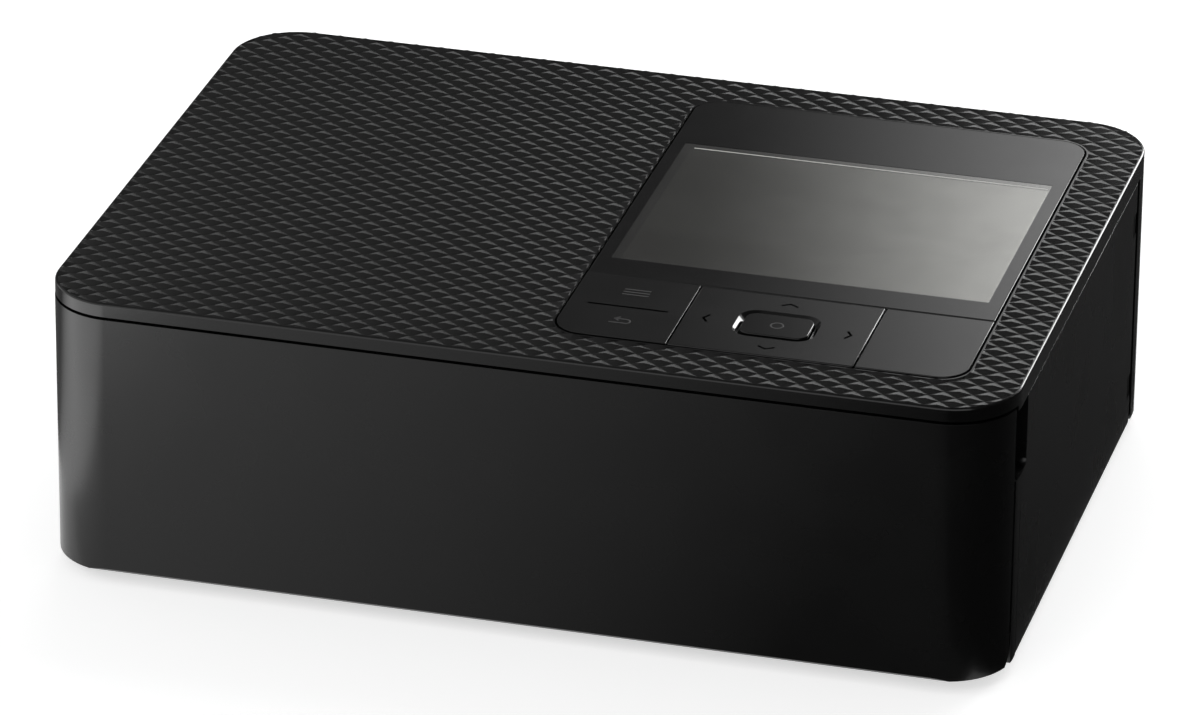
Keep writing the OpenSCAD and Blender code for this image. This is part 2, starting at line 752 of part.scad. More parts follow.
module feet() {
    color("#0e0e0e") corner_spots(foot_at) cylinder(r = foot_r, h = wall_z + 0.6 - seat);
}

module case_screws() {
    color("#8a8a8a") corner_spots(screw_at) difference() {
        union() {
            translate([0, 0, wall_z + 1.0]) cylinder(r = screw_r - 0.02, h = floor_t + 6.2);
            translate([0, 0, wall_z + 0.2]) cylinder(r = screw_head_r, h = 0.8);
        }
        for (turn = [0, 90]) rotate(turn) translate([0, 0, wall_z + 0.2])
            cube([2.6, 0.6, 0.9], center = true);
    }
}

// ---------- control panel ----------

module panel_plan(inset = 0) {
    translate([panel_mid_x, panel_mid_y])
        rounded_rect(panel_w - 2 * inset, panel_l - 2 * inset, panel_r - inset);
}

// The part of the panel's plan between two corners
module panel_piece(x0, y0, x1, y1) {
    intersection() {
        panel_plan();
        translate([x0, y0]) square([x1 - x0, y1 - y0]);
    }
}

module panel_tray() {
    b = tray_border;
    color("#202020") difference() {
        union() {
            span([panel_x0 - b, panel_y0 - b, tray_z0], [panel_x1 + b, panel_y1 + b, tray_z1]);
            slab(tray_z1 - 0.01, plates_z - seat)
                difference() {
                    panel_plan(0.4);
                    translate([0, -case_d]) square([case_w, case_d + key_y1 + 0.3]);
                }
        }
        span([lcd_x - lcd_w / 2 - fit, lcd_y - lcd_l / 2 - fit, tray_z0 + tray_t],
            [lcd_x + lcd_w / 2 + fit, lcd_y + lcd_l / 2 + fit, case_h]);
        span([panel_x0 + 0.3, panel_y0 + 0.5, tray_z0 + tray_t],
            [panel_x1 - 0.3, key_y1 + 1.4, case_h]);
        // Way out for the flat cable
        span([panel_x0 + 2, panel_y0 + 4, tray_z0 - 1], [panel_x0 + 5, panel_y0 + 20, tray_z0 + tray_t + 1]);
    }
}

module display_window() {
    color("#101010") slab(plates_z, case_h)
        panel_piece(panel_x0, key_y1 + panel_gap / 2, panel_x1, panel_y1);
}

module lcd_module() {
    z0 = tray_z0 + tray_t + seat;
    color("#3a3d40") difference() {
        span([lcd_x - lcd_w / 2, lcd_y - lcd_l / 2, z0], [lcd_x + lcd_w / 2, lcd_y + lcd_l / 2, z0 + lcd_t]);
        span([lcd_x - 35.2, lcd_y - 26.4, z0 + lcd_t - 0.3], [lcd_x + 35.2, lcd_y + 26.6, case_h]);
    }
}

module nub(at) {
    translate([at.x, at.y, nub_z]) cylinder(r = nub_r, h = plates_z - nub_z + 0.01);
}

module menu_key() {
    color("#1a1a1a") {
        slab(plates_z, case_h)
            panel_piece(panel_x0, panel_y0, left_key_x1 - panel_gap / 2, key_y1 - panel_gap / 2);
        for (i = [0, 1]) nub(key_spots[i]);
        // Rocker ridge, which rolls on the key board
        along_x(left_key_x - 6, left_key_x + 6) {
            translate([key_mid_y, switch_z + 0.6]) circle(0.5);
            translate([key_mid_y - 0.4, switch_z + 0.6]) square([0.8, plates_z - switch_z - 0.59]);
        }
    }
}

module ok_plan(grow) {
    translate([nav_x, key_mid_y]) rounded_rect(ok_w + 2 * grow, ok_l + 2 * grow, ok_r + grow);
}

module nav_key() {
    color("#1a1a1a") {
        difference() {
            slab(plates_z, case_h) panel_piece(left_key_x1 + panel_gap / 2, panel_y0,
                nav_key_x1 - panel_gap / 2, key_y1 - panel_gap / 2);
            slab(plates_z - 1, case_h + 1) ok_plan(0.25);
            slab(case_h - groove_d, case_h + 1) ok_plan(groove_w);
        }
        for (i = [2:5]) nub(key_spots[i]);
        // Open ears that clip on the cradle's front and rear pins
        for (side = [-1, 1]) difference() {
            span([nav_x - 1.1, key_mid_y + side * 7.3 - 0.3, cradle_z + 0.1],
                [nav_x + 1.1, key_mid_y + side * 7.3 + 0.3, plates_z + 0.01]);
            translate([nav_x, key_mid_y, cradle_z + 0.4]) rotate([90, 0, 0])
                cylinder(r = 0.4 + running, h = 20, center = true);
        }
    }
}

// Gimbal ring under the four-way key: it tilts about X, and the key tilts on it about Y
module nav_cradle() {
    z0 = cradle_z;
    color("#2a2a2a") {
        slab(z0, z0 + 0.8) translate([nav_x, key_mid_y]) difference() {
            rounded_rect(19, 13.6, 1.5);
            rounded_rect(ok_w + 1.2, ok_l + 1.2, 1);
        }
        for (side = [-1, 1])
            rod(nav_x + side * 9.9 - 0.9, nav_x + side * 9.9 + 0.9, [key_mid_y, z0 + 0.4], 0.4);
        for (side = [-1, 1])
            translate([nav_x, key_mid_y + side * 7.2, z0 + 0.4]) rotate([90, 0, 0])
                cylinder(r = 0.4, h = 0.9, center = true);
    }
}

module ok_button() {
    color("#202020") {
        slab(plates_z - 0.01, case_h) ok_plan(0);
        nub(key_spots[6]);
    }
}

module print_key() {
    color("#1a1a1a") {
        slab(plates_z, case_h)
            panel_piece(nav_key_x1 + panel_gap / 2, panel_y0, panel_x1, key_y1 - panel_gap / 2);
        nub(key_spots[7]);
    }
}

module key_board() {
    color("#1f5d3a") {
        span([panel_x0 + 0.5, panel_y0 + 0.7, board_key_z], [panel_x1 - 0.5, key_y1 + 1.2, switch_z]);
        for (side = [-1, 1])
            span([nav_x + side * 10.3 - 0.5, key_mid_y - 1, switch_z - 0.01],
                [nav_x + side * 10.3 + 0.5, key_mid_y + 1, switch_z + 0.93]);
    }
}

module key_switches() {
    color("#c0c0c0") for (s = key_spots) translate([s.x, s.y, switch_z + 0.01]) {
        translate([-switch_side / 2, -switch_side / 2, 0]) cube([switch_side, switch_side, 0.7]);
        translate([0, 0, 0.69]) cylinder(r = 1, h = plunger_z - switch_z - 0.7);
    }
}

module power_button() {
    color("#242424") {
        rod(-half_w + 0.1, -inner_w + 0.6, button_at, button_r);
        rod(-inner_w + 0.4, -inner_w + 1.2, button_at, button_r + 1);
    }
}

module power_switch() {
    x0 = board_x0 + 0.3;
    color("#b8b8b8") {
        span([x0, button_at.x - switch_l / 2, board_top + seat],
            [x0 + 5, button_at.x + switch_l / 2, board_top + 8]);
        rod(-inner_w + 1.2 + button_travel + 0.1, x0 + 0.01, button_at, 1.4);
    }
}

// ---------- print works ----------

module frame_plate(x) {
    along_x(x, x + frame_t) translate([frame_y0, floor_z + seat])
        square([frame_y1 - frame_y0, frame_top_z - floor_z - seat]);
}

module frame_feet(x) {
    for (y = [frame_y0, frame_y1 - foot_l])
        span([x - foot_flange, y, floor_z + seat], [x + frame_t, y + foot_l, floor_z + seat + frame_t]);
}

module frame_holes(x) {
    for (at = [platen_at, capstan_at, pickup_at])
        rod(x - 1, x + frame_t + 1, at, bush_r);
    rod(x - 1, x + frame_t + 1, pinch_at, pinch_journal_r + running);
    rod(x - 1, x + frame_t + 1, arm_pivot_at, journal_r);
}

module left_frame() {
    x = left_frame_x - frame_t;
    color("#9a9ea3") {
        difference() {
            union() {
                frame_plate(x);
                frame_feet(x);
            }
            frame_holes(x);
            rod(x - 1, x + frame_t + 1, takeup_at, hub_r + running);
            rod(x - 1, x + frame_t + 1, motor_at, 2.6);
        }
        for (at = [takeup_idler_at, idler_a_at, idler_b_at]) rod(stud_end_x, x + 0.01, at, stud_r);
    }
}

module right_frame() {
    x = right_frame_x;
    color("#9a9ea3") difference() {
        union() {
            frame_plate(x);
            frame_feet(x);
        }
        frame_holes(x);
        cassette_window(x - 1, x + frame_t + 1);
    }
}

module paper_bay() {
    color("#1d1d1d") difference() {
        span([bay_x0 - bay_t, bay_y0, bay_z0 - bay_t],
            [bay_x1 + bay_t, bay_y1 + bay_t, bay_z0 + bay_h]);
        span([bay_x0, bay_y0 - 1, bay_z0], [bay_x1, bay_y1, bay_z0 + bay_h + 1]);
        // Low rear lip, over which the paper leaves the bay
        span([bay_x0 + 1.5, bay_y1 - 1, path_z - 4], [bay_x1 - 1.5, bay_y1 + bay_t + 1, case_h]);
    }
}

module exit_guide() {
    y0 = capstan_at.x + 5;
    y1 = inner_d - 0.1;
    x0 = print_x - slot_w / 2;
    x1 = print_x + slot_w / 2;
    color("#222222") difference() {
        union() {
            span([x0, max(y0, motor_at.x + motor_r + 0.6), path_z - 2.6], [x1, y1, path_z - 1.2]);
            for (x = [x0, x1 - 1.4])
                span([x, y1 - 12, floor_z + seat], [x + 1.4, y1, path_z - 2]);
        }
        for (i = [1:5])
            span([x0 + i * slot_w / 6 - 3, y0 + 8, path_z - 4], [x0 + i * slot_w / 6 + 3, y1 - 4, path_z]);
    }
}

module head_arm() {
    y1 = head_y + head_half;
    color("#b0b3b6") {
        difference() {
            union() {
                span([arm_x0, arm_pivot_at.x, arm_plate_z], [arm_x1, y1, arm_plate_z + arm_t]);
                for (x = [arm_x0, arm_x1 - boss_w])
                    rod(x, x + boss_w, arm_pivot_at, arm_boss_r);
            }
            rod(arm_x0 - 1, arm_x1 + 1, arm_pivot_at, journal_r + running);
            span([arm_x0 + boss_w, arm_pivot_at.x - 5, arm_plate_z - 5],
                [arm_x1 - boss_w, arm_pivot_at.x + 6, arm_plate_z + 5]);
            span([arm_x0 + 14, arm_pivot_at.x + 12, arm_plate_z - 1],
                [arm_x1 - 14, head_y - head_half - 3, arm_plate_z + arm_t + 1]);
        }
        for (x = [arm_x0, arm_x1 - arm_t])
            span([x, head_y - head_half, head_z + head_base_t], [x + arm_t, y1, arm_plate_z + 0.01]);
    }
}

module thermal_head() {
    x0 = print_x - head_w / 2;
    color("#d8d4c8") {
        span([x0, head_y - head_half, head_z], [x0 + head_w, head_y + head_half, head_z + head_base_t]);
        span([x0 - 1.6, head_y - 4, head_z + head_base_t - 1], [x0 + 0.01, head_y + 4, head_z + head_base_t]);
        span([x0 + head_w - 0.01, head_y - 4, head_z + head_base_t - 1],
            [x0 + head_w + 1.6, head_y + 4, head_z + head_base_t]);
    }
}

module head_heatsink() {
    x0 = arm_x0 + arm_t + seat;
    x1 = arm_x1 - arm_t - seat;
    z0 = head_z + head_base_t + seat;
    z1 = z0 + heatsink_h;
    color("#a9adb0") {
        span([x0, head_y - head_half, z0], [x1, head_y + head_half, z0 + 3]);
        for (i = [0:4]) let (y = head_y - head_half + i * (2 * head_half - 1.2) / 4)
            span([x0, y, z0 + 2.99], [x1, y + 1.2, z1]);
    }
}

module head_pivot_shaft() {
    color("silver")
        rod(left_frame_x - frame_t - shaft_out, right_frame_x + frame_t + shaft_out, arm_pivot_at,
            journal_r - 0.01);
}

module head_springs() {
    color("#c9c9c9") for (x = [left_frame_x + 1.2, right_frame_x - 6.2])
        tube(x, x + 5, arm_pivot_at, 2.9, journal_r + 0.25);
}

module platen_roller() {
    color("#26262a")
        tube(print_x - print_w / 2, print_x + print_w / 2, platen_at, platen_r, sleeve_bore_r);
}

module platen_shaft() {
    color("silver") {
        rod(left_frame_x + body_in, right_frame_x - body_in, platen_at, sleeve_bore_r - 0.02);
        rod(left_frame_x - frame_t - shaft_out, right_frame_x + frame_t + shaft_out, platen_at, journal_r);
    }
}

module capstan_shaft() {
    color("silver") {
        rod(left_frame_x + body_in, right_frame_x - body_in, capstan_at, capstan_r);
        rod(shaft_end_x, right_frame_x + frame_t + shaft_out, capstan_at, journal_r);
    }
}

module pinch_roller() {
    color("#b5b5b5") {
        rod(print_x - print_w / 2, print_x + print_w / 2, pinch_at, pinch_r);
        rod(left_frame_x - frame_t - shaft_out, right_frame_x + frame_t + shaft_out, pinch_at,
            pinch_journal_r);
    }
}

module pickup_rollers() {
    color("#2a2a2d") for (dx = [-pickup_dx, pickup_dx])
        tube(print_x + dx - pickup_w / 2, print_x + dx + pickup_w / 2, pickup_at, pickup_r, sleeve_bore_r);
}

module pickup_shaft() {
    color("silver") {
        rod(left_frame_x + body_in, right_frame_x - body_in, pickup_at, sleeve_bore_r - 0.02);
        rod(shaft_end_x, right_frame_x + frame_t + shaft_out, pickup_at, journal_r);
    }
}

module shaft_bushes() {
    color("#e6e2d6") for (at = [platen_at, capstan_at, pickup_at]) {
        tube(left_frame_x - frame_t, left_frame_x + 0.01, at, bush_r - 0.01, journal_r + running);
        tube(left_frame_x, left_frame_x + bush_flange_t, at, bush_flange_r, journal_r + running);
        tube(right_frame_x - 0.01, right_frame_x + frame_t, at, bush_r - 0.01, journal_r + running);
        tube(right_frame_x - bush_flange_t, right_frame_x, at, bush_flange_r, journal_r + running);
    }
}

// ---------- drive ----------

module feed_motor() {
    x0 = left_frame_x + seat;
    color("#8f9498") {
        difference() {
            union() {
                rod(x0 + 1.0, x0 + motor_l, motor_at, motor_r);
                rod(x0, x0 + 1.01, motor_at, motor_r - 0.5);
                rod(x0 - 1.0, x0 + 0.01, motor_at, 2.5);
            }
            rod(x0 - 2, x0 + motor_l - 2, motor_at, motor_shaft_r + running);
        }
    }
}

module motor_pinion() {
    color("#c8a95a") {
        gear(pinion_teeth, motor_phase, motor_at, motor_shaft_r - 0.3);
        rod(gear_x0 + 0.2, left_frame_x + motor_l - 3, motor_at, motor_shaft_r);
    }
}

module capstan_gear() {
    color("#ddd8c8") gear(capstan_teeth, 0, capstan_at, journal_r);
}

module takeup_idler() {
    color("#ddd8c8") gear(takeup_idler_teeth, takeup_idler_phase, takeup_idler_at, stud_r + running);
}

module feed_idler_a() {
    color("#ddd8c8") gear(feed_idler_teeth, idler_a_phase, idler_a_at, stud_r + running);
}

module feed_idler_b() {
    color("#ddd8c8") gear(feed_idler_teeth, idler_b_phase, idler_b_at, stud_r + running);
}

module pickup_gear() {
    color("#ddd8c8") gear(pickup_teeth, pickup_phase, pickup_at, journal_r);
}

// The take-up drive: a gear, a neck through the frame and a splined nose in the spool
module takeup_hub() {
    color("#ddd8c8") {
        gear(takeup_teeth, takeup_phase, takeup_at, 1);
        rod(gear_x0 + 0.5, core_x0 + 5.5, takeup_at, hub_r - 0.4);
        rod(gear_x1 - 0.01, left_frame_x + 2, takeup_at, hub_r);
    }
}

// ---------- ribbon cassette ----------

module cassette_end(x0, x1) {
    along_x(x0, x1) difference() {
        union() {
            for (at = [supply_at, takeup_at]) translate(at) circle(tube_r);
            translate([supply_at.x, spool_z + tube_r - 4]) square([2 * spool_pitch, 4]);
        }
        for (at = [supply_at, takeup_at]) translate(at) circle(core_r + running);
    }
}

module cassette_tube(at, side) {
    tube_x0 = cassette_x0 + cassette_end_t;
    tube_x1 = cassette_x1 - cassette_end_t;
    difference() {
        tube(tube_x0 - 0.01, tube_x1 + 0.01, at, tube_r, tube_r - tube_wall);
        // Mouth for the ribbon, low on the side of the head
        along_x(tube_x0 + 3, tube_x1 - 3) translate(at)
            polygon([[0, 0], side * [2 * tube_r, -1.5], side * [2 * tube_r, -2 * tube_r * side],
                [side * 2, -2 * tube_r]]);
    }
}

module ink_cassette() {
    color("#34383c") {
        cassette_end(cassette_x0, cassette_x0 + cassette_end_t);
        cassette_end(cassette_x1 - cassette_end_t, cassette_x1);
        cassette_tube(supply_at, 1);
        cassette_tube(takeup_at, -1);
        // Grip at the door side
        along_x(cassette_x1 - 0.01, recess_x - 2.4) translate([head_y, spool_z + tube_r - 4])
            difference() {
                translate([-16, 0]) square([32, 3.6]);
                translate([-13, 1.1]) square([26, 1.4]);
            }
    }
}

module spool(at, roll_r) {
    x1 = cassette_x1 - 0.2;
    difference() {
        union() {
            rod(core_x0, x1, at, core_r);
            rod(core_x0 + 2, core_x0 + 3.2, at, roll_r + 0.6);
            rod(x1 - 3.6, x1 - 2.4, at, roll_r + 0.6);
        }
        rod(core_x0 - 1, core_x0 + 10, at, hub_r);
    }
}

module supply_spool() {
    color("#c7c2b4") spool(supply_at, supply_roll_r);
}

module takeup_spool() {
    color("#c7c2b4") spool(takeup_at, takeup_roll_r);
}

module ink_ribbon() {
    x0 = print_x - print_w / 2;
    x1 = print_x + print_w / 2;
    film = 0.08;
    film_z = path_z + 0.12;
    color("#5a4a12") {
        tube(x0, x1, supply_at, supply_roll_r, core_r + 0.02);
        tube(x0, x1, takeup_at, takeup_roll_r, core_r + 0.02);
        along_x(x0, x1) film_outline(
            [supply_at - [-0.2, supply_roll_r - 0.1], [head_y - head_half, film_z],
                [head_y + head_half, film_z], takeup_at - [takeup_roll_r - 0.1, 0.4]], film);
    }
}

// A thin film along a line of points, drawn as one band
module film_outline(p, t) {
    up = [0, t];
    polygon(concat([for (q = p) q], [for (i = [len(p) - 1:-1:0]) p[i] + up]));
}

// Lever beside the cassette's window, which pushes the cassette out
module cassette_lever() {
    x0 = right_frame_x + frame_t + 0.3;
    color("#2f6f8f") {
        rod(right_frame_x + frame_t + seat, x0 + 0.31, lever_at, 1.6);
        along_x(x0, x0 + 1.8) {
            translate(lever_at) circle(3);
            translate(lever_at + [-1.6, 0]) square([3.2, 12]);
            translate(lever_at + [-1.6, 9]) square([4.4, 3]);
        }
    }
}

// ---------- boards, sockets and fan ----------

module board_screws() {
    for (x = [board_x0 + board_post_in, board_x1 - board_post_in],
        y = [board_y0 + board_post_in, board_y1 - board_post_in])
        translate([x, y, 0]) children();
}

module main_board() {
    color("#1f5d3a") difference() {
        span([board_x0, board_y0, board_z], [board_x1, board_y1, board_top]);
        board_screws() translate([0, 0, board_z - 1]) cylinder(r = 1.4, h = board_t + 2);
    }
}

module wireless_module() {
    x = (board_x0 + board_x1) / 2 + 1.8;
    z = board_top + seat;
    color("#b9b9b9") {
        span([x - wireless_w / 2, board_y1 - 12, z], [x + wireless_w / 2, board_y1 - 8.4, z + 2]);
        span([x - wireless_w / 2, board_y1 - 8.5, z], [x + wireless_w / 2, board_y1 - 0.5, z + 0.8]);
    }
}

module usb_socket() {
    x0 = -inner_w + 0.2;
    h = usb_mouth.y + 2 * usb_shell;
    color("#c4c6c8") translate([0, usb_y, board_top + seat + h / 2]) {
        along_x(x0, x0 + 9) difference() {
            rounded_rect(usb_mouth.x + 2 * usb_shell, h, h / 2 - 0.05);
            rounded_rect(usb_mouth.x, usb_mouth.y, usb_mouth.y / 2 - 0.05);
        }
        along_x(x0 + 8, x0 + 9) rounded_rect(usb_mouth.x + 0.2, usb_mouth.y + 0.2, usb_mouth.y / 2);
        along_x(x0 + 1, x0 + 8.1) square([6.6, 0.7], center = true);
    }
}

module dc_jack() {
    y1 = inner_d - seat;
    color("#222222") {
        difference() {
            span([jack_at.x - jack_w / 2, y1 - jack_l, jack_at.y - jack_w / 2],
                [jack_at.x + jack_w / 2, y1, jack_at.y + jack_w / 2]);
            translate([jack_at.x, y1 + 1, jack_at.y]) rotate([90, 0, 0]) cylinder(r = jack_r, h = 10.5);
        }
        translate([jack_at.x, y1 - 1, jack_at.y]) rotate([90, 0, 0]) cylinder(r = 1, h = 9);
    }
}

module card_slot() {
    x0 = -inner_w + 0.2;
    z = board_top + seat;
    color("#c4c6c8") difference() {
        span([x0, card_y - card_w / 2, z], [board_x1 - 2, card_y + card_w / 2, z + card_t]);
        span([x0 - 1, card_y - card_mouth.x / 2, z + 0.7],
            [board_x1 - 4, card_y + card_mouth.x / 2, z + 0.7 + card_mouth.y]);
    }
}

module fan_housing() {
    color("#1a1a1a") difference() {
        translate([0, fan_y, fan_z]) along_x(fan_x0, fan_x0 + fan_t) difference() {
            rounded_rect(fan_size, fan_size, 2);
            circle(fan_hole_r);
        }
        for (sy = [-1, 1], sz = [-1, 1])
            rod(fan_x0 - 1, fan_x0 + fan_t + 1, [fan_y, fan_z] + (fan_size / 2 - 3) * [sy, sz], 1.1);
    }
    color("#1a1a1a") {
        for (turn = [45:90:315]) translate([fan_x0 + fan_t - 1.5, fan_y, fan_z]) rotate([turn, 0, 0])
            translate([0, fan_hub_r - 1, -0.8]) cube([1.5, fan_hole_r - fan_hub_r + 1.2, 1.6]);
        rod(fan_x0 + fan_t - 1.5, fan_x0 + fan_t, [fan_y, fan_z], fan_hub_r);
        rod(fan_x0 + 3, fan_x0 + fan_t - 1.49, [fan_y, fan_z], 1);
    }
}

module fan_rotor() {
    x1 = fan_x0 + fan_t - 1.9;
    at = [fan_y, fan_z];
    color("#2b2b2b") {
        difference() {
            rod(fan_x0 + 1, x1, at, fan_hub_r);
            rod(fan_x0 + 2.5, x1 + 1, at, 1 + running);
        }
        for (i = [0:6]) translate([fan_x0 + 1.2, fan_y, fan_z]) rotate([i * 360 / 7, 0, 0])
            translate([0, fan_hub_r - 0.5, 0]) blade(x1 - fan_x0 - 1.6);
    }
}

// One blade, leaning across the fan's thickness
module blade(depth) {
    rotate([90, 0, 90]) rotate([90, 0, 90]) linear_extrude(fan_hole_r - fan_hub_r - 0.2)
        polygon([[-2.6, 0.1], [-1.8, 0], [2.6, depth - 0.1], [1.8, depth]]);
}

// Flat cable from the key board over the paper bay to the main board
module panel_cable() {
    z = tray_z0 - 0.3;
    x0 = board_x1 - 6;
    x1 = panel_x0 + 4.4;
    t = 0.25;
    color("#d9b45a") along_y(panel_y0 + 5, panel_y0 + 19) polygon([
        [x0, board_top + seat], [x0, z], [x1 - t, z], [x1 - t, tray_z0 + tray_t - 0.2],
        [x1, tray_z0 + tray_t - 0.2], [x1, z - t], [x0 + t, z - t], [x0 + t, board_top + seat]]);
}

bottom_case();
body_shell();
front_frame();
top_cover();
front_cover();
front_cover_pins();
ink_door();
ink_door_pins();
feet();
case_screws();
panel_tray();
display_window();
lcd_module();
menu_key();
nav_cradle();
nav_key();
ok_button();
print_key();
key_board();
key_switches();
power_button();
power_switch();
left_frame();
right_frame();
paper_bay();
exit_guide();
head_arm();
thermal_head();
head_heatsink();
head_pivot_shaft();
head_springs();
platen_roller();
platen_shaft();
capstan_shaft();
pinch_roller();
pickup_rollers();
pickup_shaft();
shaft_bushes();
feed_motor();
motor_pinion();
capstan_gear();
takeup_idler();
takeup_hub();
feed_idler_a();
feed_idler_b();
pickup_gear();
ink_cassette();
supply_spool();
takeup_spool();
ink_ribbon();
cassette_lever();
main_board();
wireless_module();
usb_socket();
dc_jack();
card_slot();
fan_housing();
fan_rotor();
panel_cable();
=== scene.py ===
# %% [markdown]
# # A compact photo printer, dressed for its portrait
#
# The printer arrives as a frame of exact solids: casing, covers, keys, print works. This lesson gives
# them their looks. Most of what shows is one black plastic, so the work is in small things: round edges
# that catch a line of light, a field of little pyramids, a satin skin and a dark glossy panel.

# %% Load the frame
import json
from math import ceil, cos, hypot, pi, radians, sin, sqrt

import bmesh
import bpy
from mathutils import Matrix, Vector


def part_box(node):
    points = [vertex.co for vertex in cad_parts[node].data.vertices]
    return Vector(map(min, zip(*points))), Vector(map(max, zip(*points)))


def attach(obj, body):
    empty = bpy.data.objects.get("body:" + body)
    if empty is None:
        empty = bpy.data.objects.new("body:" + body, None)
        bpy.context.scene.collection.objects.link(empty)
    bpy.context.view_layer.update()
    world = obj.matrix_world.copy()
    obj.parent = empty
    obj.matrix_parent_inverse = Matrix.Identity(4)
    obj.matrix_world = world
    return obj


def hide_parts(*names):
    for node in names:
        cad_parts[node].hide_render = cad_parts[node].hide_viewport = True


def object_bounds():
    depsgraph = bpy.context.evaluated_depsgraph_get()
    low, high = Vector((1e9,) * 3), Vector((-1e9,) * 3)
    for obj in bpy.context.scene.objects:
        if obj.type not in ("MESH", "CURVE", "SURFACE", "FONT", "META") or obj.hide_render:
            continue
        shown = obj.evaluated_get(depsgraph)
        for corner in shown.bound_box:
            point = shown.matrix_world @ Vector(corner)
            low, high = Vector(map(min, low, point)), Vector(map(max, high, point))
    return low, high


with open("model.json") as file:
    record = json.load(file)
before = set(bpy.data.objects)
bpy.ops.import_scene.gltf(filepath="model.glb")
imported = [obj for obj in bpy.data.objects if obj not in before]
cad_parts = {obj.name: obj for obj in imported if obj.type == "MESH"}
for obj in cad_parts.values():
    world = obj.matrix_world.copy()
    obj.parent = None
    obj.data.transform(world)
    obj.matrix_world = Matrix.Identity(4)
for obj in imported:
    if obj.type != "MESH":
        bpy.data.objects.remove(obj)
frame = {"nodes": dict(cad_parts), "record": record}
cad_low, cad_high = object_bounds()
NODES = frame["nodes"]
MM = 0.001
print("frame:", len(NODES), "nodes,", [round(v / MM, 1) for v in cad_high - cad_low], "mm")

# %% [markdown]
# ## Camera
#
# The photograph was taken with a long lens from the front right, a little above. The camera's place was
# worked out from the casing's own corners: azimuth, elevation and a slight roll round a point at half
# the casing's height. A roll is easiest to give as a matrix made of the camera's three axes.

# %% Camera
AZIMUTH, ELEVATION, ROLL = radians(14.823), radians(25.205), radians(0.624)
DISTANCE = 1516.612 * MM
FOCAL_PIXELS, PHOTO_WIDTH = 8010.356, 1200
OFFSET_X, OFFSET_Y = 8.614, -9.227                    # the lens's shift, in pixels of the photograph
SENSOR_WIDTH, VIEW_REACH = 36, 20                     # in millimetres and in metres

back = Vector((sin(AZIMUTH) * cos(ELEVATION), -cos(AZIMUTH) * cos(ELEVATION), sin(ELEVATION)))
level = Vector((cos(AZIMUTH), sin(AZIMUTH), 0))
upward = back.cross(level)
camera_x = cos(ROLL) * level + sin(ROLL) * upward
camera_y = cos(ROLL) * upward - sin(ROLL) * level
target = Vector((0, 0, (cad_low.z + cad_high.z) / 2))

camera_data = bpy.data.cameras.new("camera")
camera_data.sensor_width = SENSOR_WIDTH
camera_data.lens = FOCAL_PIXELS * SENSOR_WIDTH / PHOTO_WIDTH
camera_data.shift_x = -OFFSET_X / PHOTO_WIDTH
camera_data.shift_y = OFFSET_Y / PHOTO_WIDTH
camera_data.clip_end = VIEW_REACH
camera = bpy.data.objects.new("camera", camera_data)
bpy.context.scene.collection.objects.link(camera)
axes = Matrix((camera_x, camera_y, back)).transposed().to_4x4()
camera.matrix_world = Matrix.Translation(target + back * DISTANCE) @ axes
bpy.context.scene.camera = camera
print("camera at", [round(v / MM) for v in camera.location], "mm, lens", round(camera_data.lens, 1))

# %% [markdown]
# ## Light
#
# Black plastic shows its surroundings more than itself, so the studio matters as much as the material.
# The room is white to the camera and to reflections, and an even grey to everything else. A few small
# tools come first: one adds a shader node, one turns a colour to linear, one empties a node tree.

# %% Small tools for shaders
def node_add(tree, kind, settings=None, links=None):
    """Adds one shader node, sets its properties and inputs, and links its inputs."""
    node = tree.nodes.new(kind)
    for key, value in (settings or {}).items():
        if isinstance(key, str) and hasattr(node, key):
            setattr(node, key, value)
        else:
            node.inputs[key].default_value = value
    for key, source in (links or {}).items():
        tree.links.new(source, node.inputs[key])
    return node


def linear(hex_colour):
    """Turns an sRGB hex colour into the linear values that Blender mixes."""
    parts = [int(hex_colour[i:i + 2], 16) / 255 for i in (1, 3, 5)]
    return [c / 12.92 if c <= 0.04045 else ((c + 0.055) / 1.055) ** 2.4 for c in parts] + [1.0]


def emptied(data):
    """Gives a material or a world an empty node tree."""
    data.use_nodes = True
    data.node_tree.nodes.clear()
    return data.node_tree


def blank_material(name):
    """A new material, its empty tree, and the piece's own coordinates, which its pattern follows."""
    material = bpy.data.materials.new(name)
    tree = emptied(material)
    return material, tree, node_add(tree, "ShaderNodeTexCoord").outputs["Object"]


def seen_directly(tree):
    """1 for rays from the camera, from a reflection or through glass, and 0 for the rest."""
    path = node_add(tree, "ShaderNodeLightPath")
    both = node_add(tree, "ShaderNodeMath", {"operation": "MAXIMUM"},
                    {0: path.outputs["Is Camera Ray"], 1: path.outputs["Is Glossy Ray"]})
    return node_add(tree, "ShaderNodeMath", {"operation": "MAXIMUM"},
                    {0: both.outputs[0], 1: path.outputs["Is Transmission Ray"]}).outputs[0]


WHITE = linear("#ffffff")
print("white in linear values:", WHITE)

# %% [markdown]
# The floor is plain paper. To the camera it is lifted by a glow of its own, so that it ends up white and
# still keeps the printer's shadow. It lies a hair under the feet, so that the two never share a plane.

# %% Room and floor
ROOM_STRENGTH, FLOOR_LIFT = 0.35, 0.62
FLOOR_SIZE, FLOOR_DROP = 12, 0.02 * MM                # in metres

scene = bpy.context.scene
scene.view_settings.view_transform = "Standard"
scene.world = bpy.data.worlds.new("white_room")
tree = emptied(scene.world)
plain = node_add(tree, "ShaderNodeBackground", {"Color": WHITE, "Strength": ROOM_STRENGTH})
white = node_add(tree, "ShaderNodeBackground", {"Color": WHITE, "Strength": 1.0})
room = node_add(tree, "ShaderNodeMixShader", {},
                {0: seen_directly(tree), 1: plain.outputs[0], 2: white.outputs[0]})
node_add(tree, "ShaderNodeOutputWorld", {}, {"Surface": room.outputs[0]})

